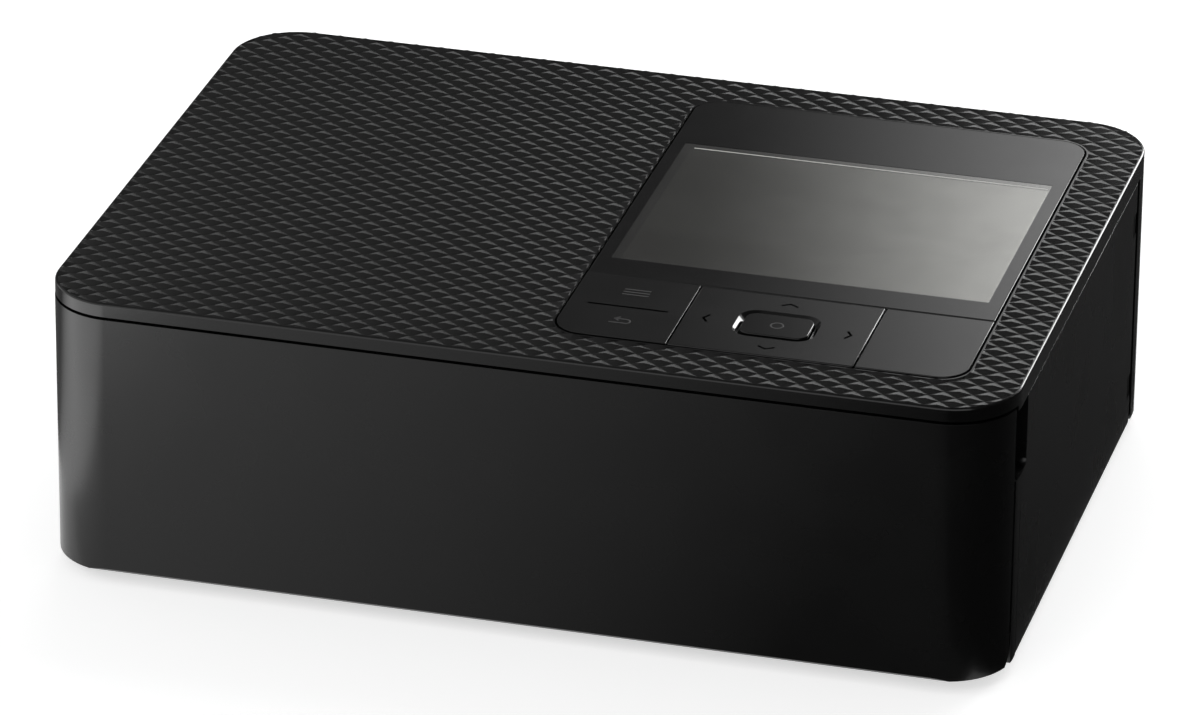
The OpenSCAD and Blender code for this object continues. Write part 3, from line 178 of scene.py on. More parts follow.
bpy.ops.object.select_all(action="DESELECT")
bpy.ops.mesh.primitive_plane_add(size=FLOOR_SIZE, location=(0, 0, cad_low.z - FLOOR_DROP))
floor = bpy.context.object
floor.name = "floor"
floor_paper = bpy.data.materials.new("floor_paper")
tree = emptied(floor_paper)
paper = node_add(tree, "ShaderNodeBsdfDiffuse", {"Color": linear("#e6e6e6")})
glow = node_add(tree, "ShaderNodeEmission", {"Color": WHITE, "Strength": FLOOR_LIFT})
lifted = node_add(tree, "ShaderNodeAddShader", {}, {0: paper.outputs[0], 1: glow.outputs[0]})
sheet = node_add(tree, "ShaderNodeMixShader", {},
                 {0: seen_directly(tree), 1: paper.outputs[0], 2: lifted.outputs[0]})
node_add(tree, "ShaderNodeOutputMaterial", {}, {"Surface": sheet.outputs[0]})
floor.data.materials.append(floor_paper)
print("room", ROOM_STRENGTH, "and floor", floor.dimensions.x, "m wide")

# %% [markdown]
# Soft lamps stand over the rear, at the left, at the front and at the rear right. They light the plastic
# but don't show in it: what its gloss mirrors is left to the cards of the next step, where it can be
# given a place and a brightness of its own.


# %% Lamps
def soft_lamp(name, place, size, watts):
    """An area lamp that looks at the printer's middle. Places and sizes are in metres."""
    data = bpy.data.lights.new(name, "AREA")
    data.shape = "RECTANGLE"
    data.size, data.size_y = size
    data.energy = watts
    lamp = bpy.data.objects.new(name, data)
    bpy.context.scene.collection.objects.link(lamp)
    lamp.location = place
    lamp.rotation_euler = (target - Vector(place)).to_track_quat("-Z", "Y").to_euler()
    lamp.visible_glossy = False


LAMPS = (
    # name, place, size, watts
    ("lamp_over_rear", (0.15, 0.9, 1.1), (1.2, 0.7), 6),
    ("lamp_left", (-1.1, -0.35, 0.45), (0.5, 0.9), 3),
    ("lamp_front", (-0.3, -1.3, 1.2), (0.9, 0.6), 3),
    ("lamp_rear_right", (0.52, 1.05, 0.42), (0.3, 0.5), 3),
)
for lamp in LAMPS:
    soft_lamp(*lamp)

# %% [markdown]
# A reflector card is a sheet that shows in reflections only: it neither shows to the camera nor shades
# anything. Its brightness runs from one end to the other, as a real card does that is lit from one side.
#
# Behind the printer stand three, one above the other. The upper one makes the panel's long gradient, a
# dark band under it gives the pyramids their dark flanks, and a bright strip at the horizon gives them
# their bright ones. At the rear right a small softbox draws the hairlines along the plates' edges, over a
# low dark card. A card overhead keeps the sky dark. At the right stand a dark card and, level with the
# top's edge, a flag that shades the side wall. The cards on the floor shade the front, the right side and
# the left corner, and carry the horizon's light up to the printer's rear.


# %% Reflector cards
def reflector_card(name, corners, axis, near, far, dark, bright, rise="LINEAR"):
    """A card whose glow runs from dark at near to bright at far, along one axis."""
    mesh = bpy.data.meshes.new(name)
    mesh.from_pydata([Vector(c) for c in corners], [], [range(len(corners))])
    card = bpy.data.objects.new(name, mesh)
    bpy.context.scene.collection.objects.link(card)
    sheen, tree, place = blank_material(name)
    split = node_add(tree, "ShaderNodeSeparateXYZ", {}, {0: place})
    ramp = node_add(tree, "ShaderNodeMapRange",
                    {"interpolation_type": rise, "From Min": near, "From Max": far,
                     "To Min": dark, "To Max": bright}, {"Value": split.outputs[axis]})
    glow = node_add(tree, "ShaderNodeEmission", {"Color": WHITE}, {"Strength": ramp.outputs["Result"]})
    node_add(tree, "ShaderNodeOutputMaterial", {}, {"Surface": glow.outputs[0]})
    mesh.materials.append(sheen)
    card.visible_camera = card.visible_diffuse = card.visible_shadow = card.visible_transmission = False


# Heights of the cards behind the printer, from the floor up, and how far behind they stand, in metres
FLOOR_CARD, CARD_LOW, CARD_STRIP, CARD_HORIZON, CARD_TOP, CARD_Y = 0.001, 0.12, 0.15, 0.25, 0.55, 0.62
SOFTBOX_X, SOFTBOX_TOP, SOFTBOX_GLOW = (0.16, 0.42), 0.36, 11.0
# Where cards end at the left, at the right and at the front, and where two of them meet
LEFT_END, REAR_SPLIT, SIDE_X, FRONT_Y, FLOOR_SPLIT, REAR_Y = -1.2, 0.03, 0.6, -0.6, -0.118, 0.08
# The right and front walls' planes, a hair outside them, and the flag's height under the top's edge
WALL_X, WALL_Y, FLAG_Z = cad_high.x + 0.0003, cad_low.y - 0.0003, 0.0565


def standing(x0, x1, z0, z1):
    """The corners of a card that stands behind the printer."""
    return [(x0, CARD_Y, z0), (x1, CARD_Y, z0), (x1, CARD_Y, z1), (x0, CARD_Y, z1)]


def lying(x0, x1, y0, y1, z=FLOOR_CARD):
    """The corners of a card that lies level, on the floor unless it is given a height."""
    return [(x0, y0, z), (x1, y0, z), (x1, y1, z), (x0, y1, z)]


CARDS = (
    # name, corners, axis, near, far, dark, bright
    ("card_behind", standing(LEFT_END, REAR_SPLIT, CARD_HORIZON, CARD_TOP),
     "X", -0.14, 0.1, 0.085, 3.5, "SMOOTHSTEP"),
    ("card_dark_band", standing(LEFT_END, REAR_SPLIT, CARD_STRIP, CARD_HORIZON), "X", -0.18, 0.0, 0.06, 0.08),
    ("card_horizon", standing(LEFT_END, REAR_SPLIT, FLOOR_CARD, CARD_STRIP), "X", -0.21, -0.05, 0.38, 0.95),
    ("card_floor_behind", lying(LEFT_END, WALL_X, REAR_Y, CARD_Y), "X", -0.25, -0.05, 0.3, 0.9),
    ("card_behind_low", standing(REAR_SPLIT, 0.7, FLOOR_CARD, CARD_LOW), "X", 0.03, 0.7, 0.05, 0.02),
    ("card_softbox", standing(*SOFTBOX_X, CARD_LOW, SOFTBOX_TOP),
     "X", *SOFTBOX_X, SOFTBOX_GLOW, SOFTBOX_GLOW),
    ("card_overhead", [(LEFT_END, CARD_Y, CARD_TOP), (SIDE_X, CARD_Y, CARD_TOP), (SIDE_X, -1.3, 1.5),
                       (LEFT_END, -1.3, 1.5)], "X", -0.6, 0.1, 0.36, 0.07),
    ("card_right", [(SIDE_X, -0.6, FLOOR_CARD), (SIDE_X, 0.6, FLOOR_CARD), (SIDE_X, 0.6, 1.0),
                    (SIDE_X, -0.6, 1.0)], "Z", 0.0, 1.0, 0.02, 0.1),
    ("card_floor_right", lying(WALL_X, 1.2, FRONT_Y, 1.6), "Y", -0.06, 0.1, 0.02, 0.05),
    ("card_flag_right", lying(WALL_X + 0.002, 0.55, -0.07, 0.9, FLAG_Z), "Y", -0.06, 0.1, 0.02, 0.04),
    ("card_floor_front", lying(FLOOR_SPLIT, WALL_X, FRONT_Y, WALL_Y), "X", FLOOR_SPLIT, 0.05, 0.92, 0.07),
    ("card_floor_left", lying(-0.6, FLOOR_SPLIT, -0.3, REAR_Y), "Y", -0.085, -0.02, 2.65, 0.15),
)
for card in CARDS:
    reflector_card(*card)

# %% [markdown]
# ## Finishes
#
# Nearly every visible piece is ABS, moulded in tools that were spark eroded to a fine satin. Such a skin
# has three parts: a grain far finer than a millimetre, which bump gives, slow changes of gloss over
# centimetres, and a shade that is never quite the same. One function mixes them for all the plastics.

# %% Moulded plastic
GLOSS_DRIFT = 16                                      # size of the slow changes of gloss, in millimetres
PALE_GAIN, PALE_LIFT = 1.5, 0.002                     # how the palest specks follow from the colour


def coat(tree, settings, links, height, strength, depth):
    """Ends a material: bump from a height, the surface and the output. The depth is in millimetres."""
    bump = node_add(tree, "ShaderNodeBump", {"Strength": strength, "Distance": depth * MM},
                    {"Height": height})
    shell = node_add(tree, "ShaderNodeBsdfPrincipled", settings, {**links, "Normal": bump.outputs[0]})
    node_add(tree, "ShaderNodeOutputMaterial", {}, {"Surface": shell.outputs[0]})


def moulded(name, colour, roughness, grain=0.35, depth=0.012, lift=0.5, ior=1.5):
    """Moulded plastic. Grain and depth are the eroded skin's, in millimetres."""
    material, tree, place = blank_material(name)
    skin = node_add(tree, "ShaderNodeTexNoise", {"Scale": 1 / (grain * MM), "Detail": 2.0},
                    {"Vector": place})
    cloud = node_add(tree, "ShaderNodeTexNoise", {"Scale": 1 / (GLOSS_DRIFT * MM), "Detail": 4.0},
                     {"Vector": place})
    gloss = node_add(tree, "ShaderNodeMapRange",
                     {"From Min": 0.3, "From Max": 0.7,
                      "To Min": roughness * 0.9, "To Max": roughness * 1.1}, {"Value": cloud.outputs[0]})
    speck = node_add(tree, "ShaderNodeMapRange",
                     {"From Min": 0.35, "From Max": 0.75, "To Min": 0.0, "To Max": lift},
                     {"Value": skin.outputs[0]})
    pale = [min(1.0, PALE_GAIN * c + PALE_LIFT) for c in linear(colour)[:3]] + [1.0]
    shade = node_add(tree, "ShaderNodeMix", {"data_type": "RGBA", 6: linear(colour), 7: pale},
                     {0: speck.outputs["Result"]})
    coat(tree, {"IOR": ior}, {"Base Color": shade.outputs[2], "Roughness": gloss.outputs["Result"]},
         skin.outputs[0], 0.6, depth)
    return material


FINISH = {
    # ABS, spark eroded to a fine satin: the outer walls, with long soft lights
    "case_plastic": moulded("satin_black_abs", "#070707", 0.27, depth=0.005),
    # The same ABS from a polished tool, so that the pyramids' facets glint
    "top_plastic": moulded("faceted_black_abs", "#060606", 0.19, depth=0.004),
    # ABS with a coarser, duller skin, where nobody looks
    "base_plastic": moulded("eroded_black_abs", "#0e0e0e", 0.5, grain=0.6, depth=0.03),
    "inner_plastic": moulded("matt_black_abs", "#131313", 0.55, grain=0.5, depth=0.02),
    # Key plates: finer and glossier than the casing, the centre button nearly a mirror
    "key_plastic": moulded("fine_satin_key_abs", "#0a0a0a", 0.22, grain=0.25, depth=0.004),
    "ok_plastic": moulded("piano_black_key_abs", "#080808", 0.12, grain=0.25, depth=0.002),
    # Acetal homopolymer, natural white: waxy, slightly yellow. Black, it looks like greased rubber
    "gear_acetal": moulded("natural_acetal", "#d9d5c4", 0.42, grain=0.8, depth=0.006, lift=0.2),
    "cradle_plastic": moulded("black_acetal", "#191919", 0.4),
    # Polystyrene: a harder gloss than ABS, dark blue grey for the shell and cream for the spools
    "cassette_plastic": moulded("cassette_polystyrene", "#26292c", 0.38, grain=0.5, depth=0.015),
    "spool_plastic": moulded("spool_polystyrene", "#bdb8aa", 0.45, grain=0.6, depth=0.01, lift=0.25),
    # Blue ABS, the one colour inside, which tells the hand what to push
    "lever_plastic": moulded("blue_lever_abs", "#245f7d", 0.4, grain=0.4, lift=0.25),
    # Glass filled nylon and PBT: dull and a little cloudy
    "jack_plastic": moulded("socket_nylon", "#181818", 0.45, grain=0.3),
    "fan_plastic": moulded("fan_pbt", "#1c1c1d", 0.5, grain=0.5, depth=0.02),
    # Rubber: no gloss, with a ground or moulded skin
    "foot_rubber": moulded("foot_elastomer", "#101010", 0.75, grain=0.5, depth=0.03),
    "roller_rubber": moulded("ground_epdm_rubber", "#1b1b1d", 0.7, grain=0.3, depth=0.02),
    # Ceramic head substrate: pale and wet looking under its glaze
    "head_ceramic": moulded("glazed_alumina", "#cbc7ba", 0.25, grain=0.5, depth=0.003, lift=0.15, ior=1.7),
}
print("plastics, rubbers and ceramic:", len(FINISH))

# %% [markdown]
# The metals are few and all inside: ground steel pins, zinc coated sheet, extruded aluminium. What tells
# them apart is the direction of their marks, so the noise is stretched along one axis: the brushing or
# grinding runs along it, and the bump across it is fine.

# %% Metals
MARK_STRETCH = 0.02                                   # marks are fifty times as long as they are wide
STAIN_SIZE = 7                                        # in millimetres


def brushed(name, colour, roughness, along, mark=0.12, depth=0.004):
    """A metal whose marks run along one axis. The mark's width and the depth are in millimetres."""
    material, tree, place = blank_material(name)
    stretch = [1.0, 1.0, 1.0]
    stretch["XYZ".index(along)] = MARK_STRETCH
    lines = node_add(tree, "ShaderNodeMapping", {"Scale": stretch}, {"Vector": place})
    marks = node_add(tree, "ShaderNodeTexNoise", {"Scale": 1 / (mark * MM), "Detail": 2.0},
                     {"Vector": lines.outputs[0]})
    stains = node_add(tree, "ShaderNodeTexNoise", {"Scale": 1 / (STAIN_SIZE * MM), "Detail": 3.0},
                      {"Vector": place})
    gloss = node_add(tree, "ShaderNodeMapRange",
                     {"From Min": 0.3, "From Max": 0.7,
                      "To Min": roughness * 0.8, "To Max": roughness * 1.25}, {"Value": marks.outputs[0]})
    dull = [c * 0.8 for c in linear(colour)[:3]] + [1.0]
    shade = node_add(tree, "ShaderNodeMix", {"data_type": "RGBA", 6: linear(colour), 7: dull},
                     {0: stains.outputs[0]})
    coat(tree, {"Metallic": 1.0}, {"Base Color": shade.outputs[2], "Roughness": gloss.outputs["Result"]},
         marks.outputs[0], 0.5, depth)
    return material


METALS = {
    # Ground steel: bright, with fine rings of light along a pin
    "pin_steel": brushed("ground_steel", "#b9bbbd", 0.22, "X"),
    # Zinc coated sheet: greyer, with the broad marks of rolling
    "frame_steel": brushed("zinc_coated_sheet", "#9fa3a6", 0.38, "Y", mark=0.3),
    # Extruded aluminium: pale, with the die's lines along the fins
    "heatsink_aluminium": brushed("extruded_aluminium", "#b6b9bb", 0.35, "X", mark=0.2),
    # A drawn steel can: darker and smoother than sheet
    "motor_steel": brushed("drawn_motor_can", "#8d9195", 0.3, "X"),
    # Cut brass: the only warm metal
    "pinion_brass": brushed("cut_brass", "#c7a456", 0.28, "X"),
    # Tinned sheet: soft and silvery
    "shield_steel": brushed("tinned_shield", "#b4b6b8", 0.3, "Y"),
}
FINISH.update(METALS)
print("metals:", len(METALS))

# %% [markdown]
# Three more finishes have a pattern of their own: the boards with copper tracks under green lacquer, the
# dark ribbon with its bands of dye, and the flat cable with its conductors.

# %% Boards, ribbon and cable
SHEET_DRIFT, STRIPE_STEP = 9, 0.02                    # in millimetres


def striped(name, base, stripe, pitch, axis, share, roughness):
    """A sheet with even stripes across one axis. The pitch is in millimetres."""
    material, tree, place = blank_material(name)
    drift = node_add(tree, "ShaderNodeTexNoise", {"Scale": 1 / (SHEET_DRIFT * MM), "Detail": 3.0},
                     {"Vector": place})
    split = node_add(tree, "ShaderNodeSeparateXYZ", {}, {0: place})
    turns = node_add(tree, "ShaderNodeMath", {"operation": "DIVIDE", 1: pitch * MM},
                     {0: split.outputs[axis]})
    phase = node_add(tree, "ShaderNodeMath", {"operation": "FRACT"}, {0: turns.outputs[0]})
    on = node_add(tree, "ShaderNodeMath", {"operation": "LESS_THAN", 1: share}, {0: phase.outputs[0]})
    shade = node_add(tree, "ShaderNodeMix", {"data_type": "RGBA", 6: linear(base), 7: linear(stripe)},
                     {0: on.outputs[0]})
    gloss = node_add(tree, "ShaderNodeMapRange", {"To Min": roughness * 0.8, "To Max": roughness * 1.3},
                     {"Value": drift.outputs[0]})
    coat(tree, {}, {"Base Color": shade.outputs[2], "Roughness": gloss.outputs["Result"]},
         on.outputs[0], 0.3, STRIPE_STEP)
    return material


SHEETS = {
    # Glass epoxy under green lacquer: tracks show as paler lines, a pin pitch apart
    "board_laminate": striped("lacquered_glass_epoxy", "#12402a", "#1a5236", 2.54, "Y", 0.35, 0.35),
    # Dyed polyester film: dark and glossy, with broad bands
    "ribbon_film": striped("dye_ribbon_film", "#3a3010", "#2a2a12", 38.0, "X", 0.5, 0.25),
    # Polyimide over copper: amber with paler conductors
    "flex_film": striped("polyimide_flat_cable", "#b98a3a", "#c99c4c", 1.0, "Y", 0.6, 0.35),
}
FINISH.update(SHEETS)
print("sheets:", len(SHEETS))

# %% [markdown]
# The display window is one plate of smoked acrylic, printed black from below except over the display.
# Where it is clear, the eye sees through it to a display that is off: a grey, faintly metallic sheet that
# mirrors the room. So the plate's opacity follows a rectangle, and the sheet is a rough dark metal.

# %% Window and display
CLEAR_X, CLEAR_Y = (5.75, 77.5), (-20.75, 34.25)      # the unprinted field, in millimetres
CLEAR_ALPHA = 0.12                                    # what the smoked acrylic keeps back there
RIPPLE_SIZE, RIPPLE_DEPTH = 5, 0.003                  # the plate's slight unevenness, in millimetres

window_acrylic, tree, place = blank_material("smoked_acrylic")
split = node_add(tree, "ShaderNodeSeparateXYZ", {}, {0: place})
inside = []
for axis, (low, high) in (("X", CLEAR_X), ("Y", CLEAR_Y)):
    middle, half = (low + high) / 2 * MM, (high - low) / 2 * MM
    offset = node_add(tree, "ShaderNodeMath", {"operation": "SUBTRACT", 1: middle},
                      {0: split.outputs[axis]})
    reach = node_add(tree, "ShaderNodeMath", {"operation": "ABSOLUTE"}, {0: offset.outputs[0]})
    near = node_add(tree, "ShaderNodeMath", {"operation": "LESS_THAN", 1: half}, {0: reach.outputs[0]})
    inside.append(near.outputs[0])
clear = node_add(tree, "ShaderNodeMath", {"operation": "MULTIPLY"}, {0: inside[0], 1: inside[1]})
opacity = node_add(tree, "ShaderNodeMapRange", {"To Min": 1.0, "To Max": CLEAR_ALPHA},
                   {"Value": clear.outputs[0]})
ripple = node_add(tree, "ShaderNodeTexNoise", {"Scale": 1 / (RIPPLE_SIZE * MM), "Detail": 2.0},
                  {"Vector": place})
gloss = node_add(tree, "ShaderNodeMapRange", {"To Min": 0.13, "To Max": 0.2}, {"Value": ripple.outputs[0]})
coat(tree, {"Base Color": linear("#0a0a0a"), "IOR": 1.49},
     {"Alpha": opacity.outputs["Result"], "Roughness": gloss.outputs["Result"]},
     ripple.outputs[0], 0.3, RIPPLE_DEPTH)
FINISH["window_acrylic"] = window_acrylic
FOIL_MARK, FOIL_DEPTH = 40.0, 0.0001                  # a foil has hardly any marks of its own
FINISH["lcd_face"] = brushed("display_polariser", "#b4b4b0", 0.2, "X", mark=FOIL_MARK, depth=FOIL_DEPTH)
missing = {part["material_slot"] for part in frame["record"]["subparts"]} - set(FINISH)
print("finishes:", len(FINISH), "missing:", sorted(missing))

# %% [markdown]
# The record names a material slot for every node, so one loop dresses them all. The pieces that later
# steps make anew stand for their nodes and take the same finish.

# %% Every frame node takes its finish
slot_of = {part["node"]: part["material_slot"] for part in frame["record"]["subparts"]}
bodies = frame["record"]["behaviour"]["bodies"]
body_of = {node: body for body, nodes in bodies.items() for node in nodes}
for name, node in NODES.items():
    node.data.materials.clear()
    node.data.materials.append(FINISH[slot_of[name]])

# %% [markdown]
# ## Shaping tools
#
# A few short helpers keep the later cells readable. The first ones make a piece the only selected one,
# add a modifier and apply it, and run one operator on what passes a test in edit mode.


# %% Helpers for selecting and shaping
def only(piece):
    """Makes a piece the only selected and active one."""
    bpy.ops.object.select_all(action="DESELECT")
    piece.select_set(True)
    bpy.context.view_layer.objects.active = piece
    return piece


def modified(piece, kind, **settings):
    """Adds a modifier, sets it and applies it at once."""
    only(piece)
    modifier = piece.modifiers.new(kind.lower(), kind)
    for key, value in settings.items():
        setattr(modifier, key, value)
    bpy.ops.object.modifier_apply(modifier=modifier.name)
    return piece


def pick(piece, kind, test):
    """Goes into edit mode with only the vertices, edges or faces selected that pass a test."""
    only(piece)
    bpy.ops.object.mode_set(mode="EDIT")
    bpy.ops.mesh.select_mode(type=kind)
    bpy.ops.mesh.select_all(action="DESELECT")
    mesh = bmesh.from_edit_mesh(piece.data)
    parts = {"VERT": mesh.verts, "EDGE": mesh.edges, "FACE": mesh.faces}[kind]
    chosen = [part for part in parts if test(part)]
    for part in chosen:
        part.select_set(True)
    mesh.select_flush_mode()
    bmesh.update_edit_mesh(piece.data)
    return len(chosen)


def edited(piece, kind, test, operator, **settings):
    """Picks by a test, runs one operator on it and leaves edit mode. Gives how many were picked."""
    count = pick(piece, kind, test)
    operator(**settings)
    bpy.ops.object.mode_set(mode="OBJECT")
    return count


def upright(edge):
    """Whether an edge stands straight up."""
    way = edge.verts[0].co - edge.verts[1].co
    return hypot(way.x, way.y) < 0.001 * MM


def faces_down(face):
    """Whether a face looks down."""
    return face.normal.z < -0.9


# %% [markdown]
# The next ones make a box between two corners, plain or with round corners, and cut one piece with
# another. A box can be grown sideways, which is how a gap, a lip or a recess follows another outline.

# %% Helpers for blocks and cuts
def block(name, low, high, grow=0.0):
    """A box between two corners, grown sideways. Sizes are in millimetres, its place is in its mesh."""
    low = Vector((low[0] - grow, low[1] - grow, low[2]))
    high = Vector((high[0] + grow, high[1] + grow, high[2]))
    bpy.ops.object.select_all(action="DESELECT")
    bpy.ops.mesh.primitive_cube_add(size=1, location=(high + low) * MM / 2, scale=(high - low) * MM)
    bpy.ops.object.transform_apply(location=True, rotation=True, scale=True)
    bpy.context.object.name = name
    return bpy.context.object


def rounded_block(name, low, high, radius, segments, grow=0.0):
    """A box with its four upright edges rounded. The radius grows with the box."""
    piece = block(name, low, high, grow)
    edited(piece, "EDGE", upright, bpy.ops.mesh.bevel,
           offset=(radius + grow) * MM, segments=segments, affect="EDGES")
    return piece


def cut(piece, cutter, operation="DIFFERENCE"):
    """Cuts one piece with another, which is then thrown away."""
    modified(piece, "BOOLEAN", operation=operation, object=cutter, solver="MANIFOLD")
    bpy.data.objects.remove(cutter)
    return piece


# %% [markdown]
# The last ones round and shade a piece's edges, copy a frame node with its triangles joined, and give a
# finished piece its body, slot and finish.

# %% Helpers for edges, copies and finishes
SOFT_ANGLE = 30                                       # edges sharper than this many degrees stay sharp


def smoothed(piece):
    """Smooth shading with sharp edges kept, and large flat faces kept flat."""
    only(piece)
    bpy.ops.object.shade_smooth_by_angle(angle=radians(SOFT_ANGLE))
    return modified(piece, "WEIGHTED_NORMAL", keep_sharp=True, weight=80)


def rounded_edges(piece, width, segments=2, angle=SOFT_ANGLE):
    """Rounds every edge sharper than an angle, as a mould's own edges are."""
    return modified(piece, "BEVEL", width=width * MM, segments=segments, limit_method="ANGLE",
                    angle_limit=radians(angle), use_clamp_overlap=True)


def joined(piece):
    """Joins a piece's triangles into whole faces."""
    pick(piece, "VERT", lambda vertex: True)
    bpy.ops.mesh.remove_doubles(threshold=0.002 * MM)
    bpy.ops.mesh.dissolve_limited(angle_limit=radians(0.5))
    bpy.ops.object.mode_set(mode="OBJECT")
    return piece


def cad_copy(node, name):
    """A copy of a frame node, with its loose triangles joined."""
    piece = bpy.data.objects.new(name, NODES[node].data.copy())
    bpy.context.scene.collection.objects.link(piece)
    return joined(piece)


def clad(piece, node, slot=None, finish=None):
    """Lets a piece ride with a frame node, with a slot and a finish, which are that node's by default."""
    slot = slot or slot_of[node]
    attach(piece, body_of[node])
    piece.data.materials.clear()
    piece.data.materials.append(finish or FINISH[slot])
    print(piece.name, len(piece.data.polygons), "faces")


def dress(piece, node):
    """Lets a piece stand for a frame node, with that node's body, slot and finish."""
    clad(piece, node)
    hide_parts(node)


# %% [markdown]
# ## Casing
#
# The frame's solids have sharp edges, which no moulding has. A real edge is rounded by a few tenths of a
# millimetre and catches a thin line of light, and that line is most of what tells plastic from a drawing.
# The copies below are the frame's own forms with their edges rounded.

# %% Moulded copies with round edges
SOFT_EDGES = {                                        # node and width of its rounding, in millimetres
    "body_shell": 0.2, "ink_door": 0.2, "front_cover": 0.3, "front_frame": 0.2, "paper_bay": 0.2,
    "bottom_case": 0.2, "ink_cassette": 0.2, "cassette_lever": 0.25, "power_button": 0.3, "feet": 0.4,
    "platen_roller": 0.3, "pickup_rollers": 0.4, "fan_housing": 0.2, "head_arm": 0.2,
    "right_frame": 0.15, "left_frame": 0.15, "exit_guide": 0.2}
for node, width in SOFT_EDGES.items():
    dress(smoothed(rounded_edges(cad_copy(node, node + "_moulding"), width)), node)

# %% [markdown]
# Behind each return of the front cover stands a narrow strip of foam rubber that keeps dust and light
# out. It is a block with round edges, set just inside the gap, so that no daylight shows through from
# the side.

# %% Dust strips
FOAM_X, FOAM_Y, FOAM_Z = (86.0, 86.8), (-58.4, -53.5), (11.0, 53.0)
for side, name in ((1, "dust_strip_right"), (-1, "dust_strip_left")):
    ends = sorted(side * x for x in FOAM_X)
    foam = block(name, (ends[0], FOAM_Y[0], FOAM_Z[0]), (ends[1], FOAM_Y[1], FOAM_Z[1]))
    clad(smoothed(rounded_edges(foam, 0.2)), "front_frame", "foot_rubber")

# %% [markdown]
# The top cover is a shallow tray turned upside down. A box with round corners gives its outside, the top
# edge gets a small round, and insetting and pushing the underside leaves the rim. Then the front's rim is
# shortened over the front cover, the opening for the control panel is cut, and a shallow recess is cut
# for the field, which leaves a narrow lip around the field and around the opening.

# %% Top cover
top_low, top_high = (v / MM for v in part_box("top_cover"))
CORNER_R, RIM_W, PLATE_Z, FRONT_RIM_Z, FRONT_STEP_Y = 13, 2.2, 55.2, 54.7, -55.6
EDGE_R, FIELD_IN, OPENING_LIP = 0.5, 0.5, 0.35
LIP_Z, GROOVE_Z, APEX_Z = top_high.z - 0.2, top_high.z - 0.38, top_high.z
RECESS_Z = GROOVE_Z - 0.03
PANEL_LOW, PANEL_HIGH, PANEL_R = (2.85, -54.65), (80.65, 55.9), 5.9
CUT_LOW, CUT_HIGH, BEYOND = 50, 62, 5                 # cutters reach well past what they cut
COVER_STEPS, PANEL_STEPS, EDGE_STEPS = 24, 12, 5      # segments of each rounding
LIP_EDGE, LIP_ANGLE = 0.08, 40                        # the lips' own small rounding, and where it goes
field_low = Vector((top_low.x + FIELD_IN, top_low.y + FIELD_IN))
field_high = Vector((top_high.x - FIELD_IN, top_high.y - FIELD_IN))
FIELD_R = CORNER_R - FIELD_IN

cover = rounded_block("top_cover_moulding", top_low, (top_high.x, top_high.y, LIP_Z), CORNER_R,
                      COVER_STEPS)
edited(cover, "EDGE", lambda edge: min(v.co.z for v in edge.verts) > (LIP_Z - 0.01) * MM,
       bpy.ops.mesh.bevel, offset=EDGE_R * MM, segments=EDGE_STEPS, affect="EDGES")
pick(cover, "FACE", faces_down)
bpy.ops.mesh.inset(thickness=RIM_W * MM)
bpy.ops.transform.translate(value=(0, 0, (PLATE_Z - top_low.z) * MM))
bpy.ops.object.mode_set(mode="OBJECT")
cut(cover, block("front_step", (top_low.x - BEYOND, top_low.y - BEYOND, top_low.z - BEYOND),
                 (top_high.x + BEYOND, FRONT_STEP_Y, FRONT_RIM_Z)))
cut(cover, rounded_block("opening", (*PANEL_LOW, CUT_LOW), (*PANEL_HIGH, CUT_HIGH), PANEL_R,
                         PANEL_STEPS))
recess = rounded_block("recess", (*field_low, RECESS_Z), (*field_high, CUT_HIGH), FIELD_R,
                       COVER_STEPS)
cut(recess, rounded_block("island", (*PANEL_LOW, CUT_LOW), (*PANEL_HIGH, CUT_HIGH + 1), PANEL_R,
                          PANEL_STEPS, OPENING_LIP))
cut(cover, recess)
dress(smoothed(rounded_edges(cover, LIP_EDGE, 1, LIP_ANGLE)), "top_cover")

# %% [markdown]
# The field's pyramids are rhombic: 5.2 mm across the printer and 4.23 mm front to rear. A square grid
# turned by 45 degrees and stretched gives the rhombi, and poking every face raises its middle. The sheet
# is closed below and trimmed to the field's outline. The ridges that run front to rear are soft and all
# other edges crisp, so a flank that faces the light starts bright at its tip and fades, as real ones do.

# %% Field of pyramids
RHOMB_X, RHOMB_Y = 5.2, 4.23
FIELD_DROP, FIELD_SINK, SLACK = 1.2, 0.15, 0.02       # depth before and after the trim, and its clearance
field_mid = (field_low + field_high) / 2
field_size = field_high - field_low
count = 2 * ceil(max(field_size.x / RHOMB_X, field_size.y / RHOMB_Y) / 2) * 2
bpy.ops.object.select_all(action="DESELECT")
bpy.ops.mesh.primitive_grid_add(x_subdivisions=count, y_subdivisions=count, size=count)
field = bpy.context.object
field.name = "pyramid_field"
field.rotation_euler = (0, 0, pi / 4)
bpy.ops.object.transform_apply(location=False, rotation=True, scale=False)
field.scale = (RHOMB_X * MM / sqrt(2), RHOMB_Y * MM / sqrt(2), 1)
field.location = (field_mid.x * MM, field_mid.y * MM, GROOVE_Z * MM)
bpy.ops.object.transform_apply(location=True, rotation=True, scale=True)
print("grid:", count, "by", count, "rhombi")

# %% [markdown]
# Rhombi far outside the field go first, which leaves a smaller sheet to poke, close and trim.

# %% Field raised, closed and trimmed
field_reach = field_size / 2 + Vector((RHOMB_X, RHOMB_Y))


def outside_field(face):
    """Whether a rhombus lies more than one pitch outside the field."""
    place = face.calc_center_median() / MM
    return abs(place.x - field_mid.x) > field_reach.x or abs(place.y - field_mid.y) > field_reach.y


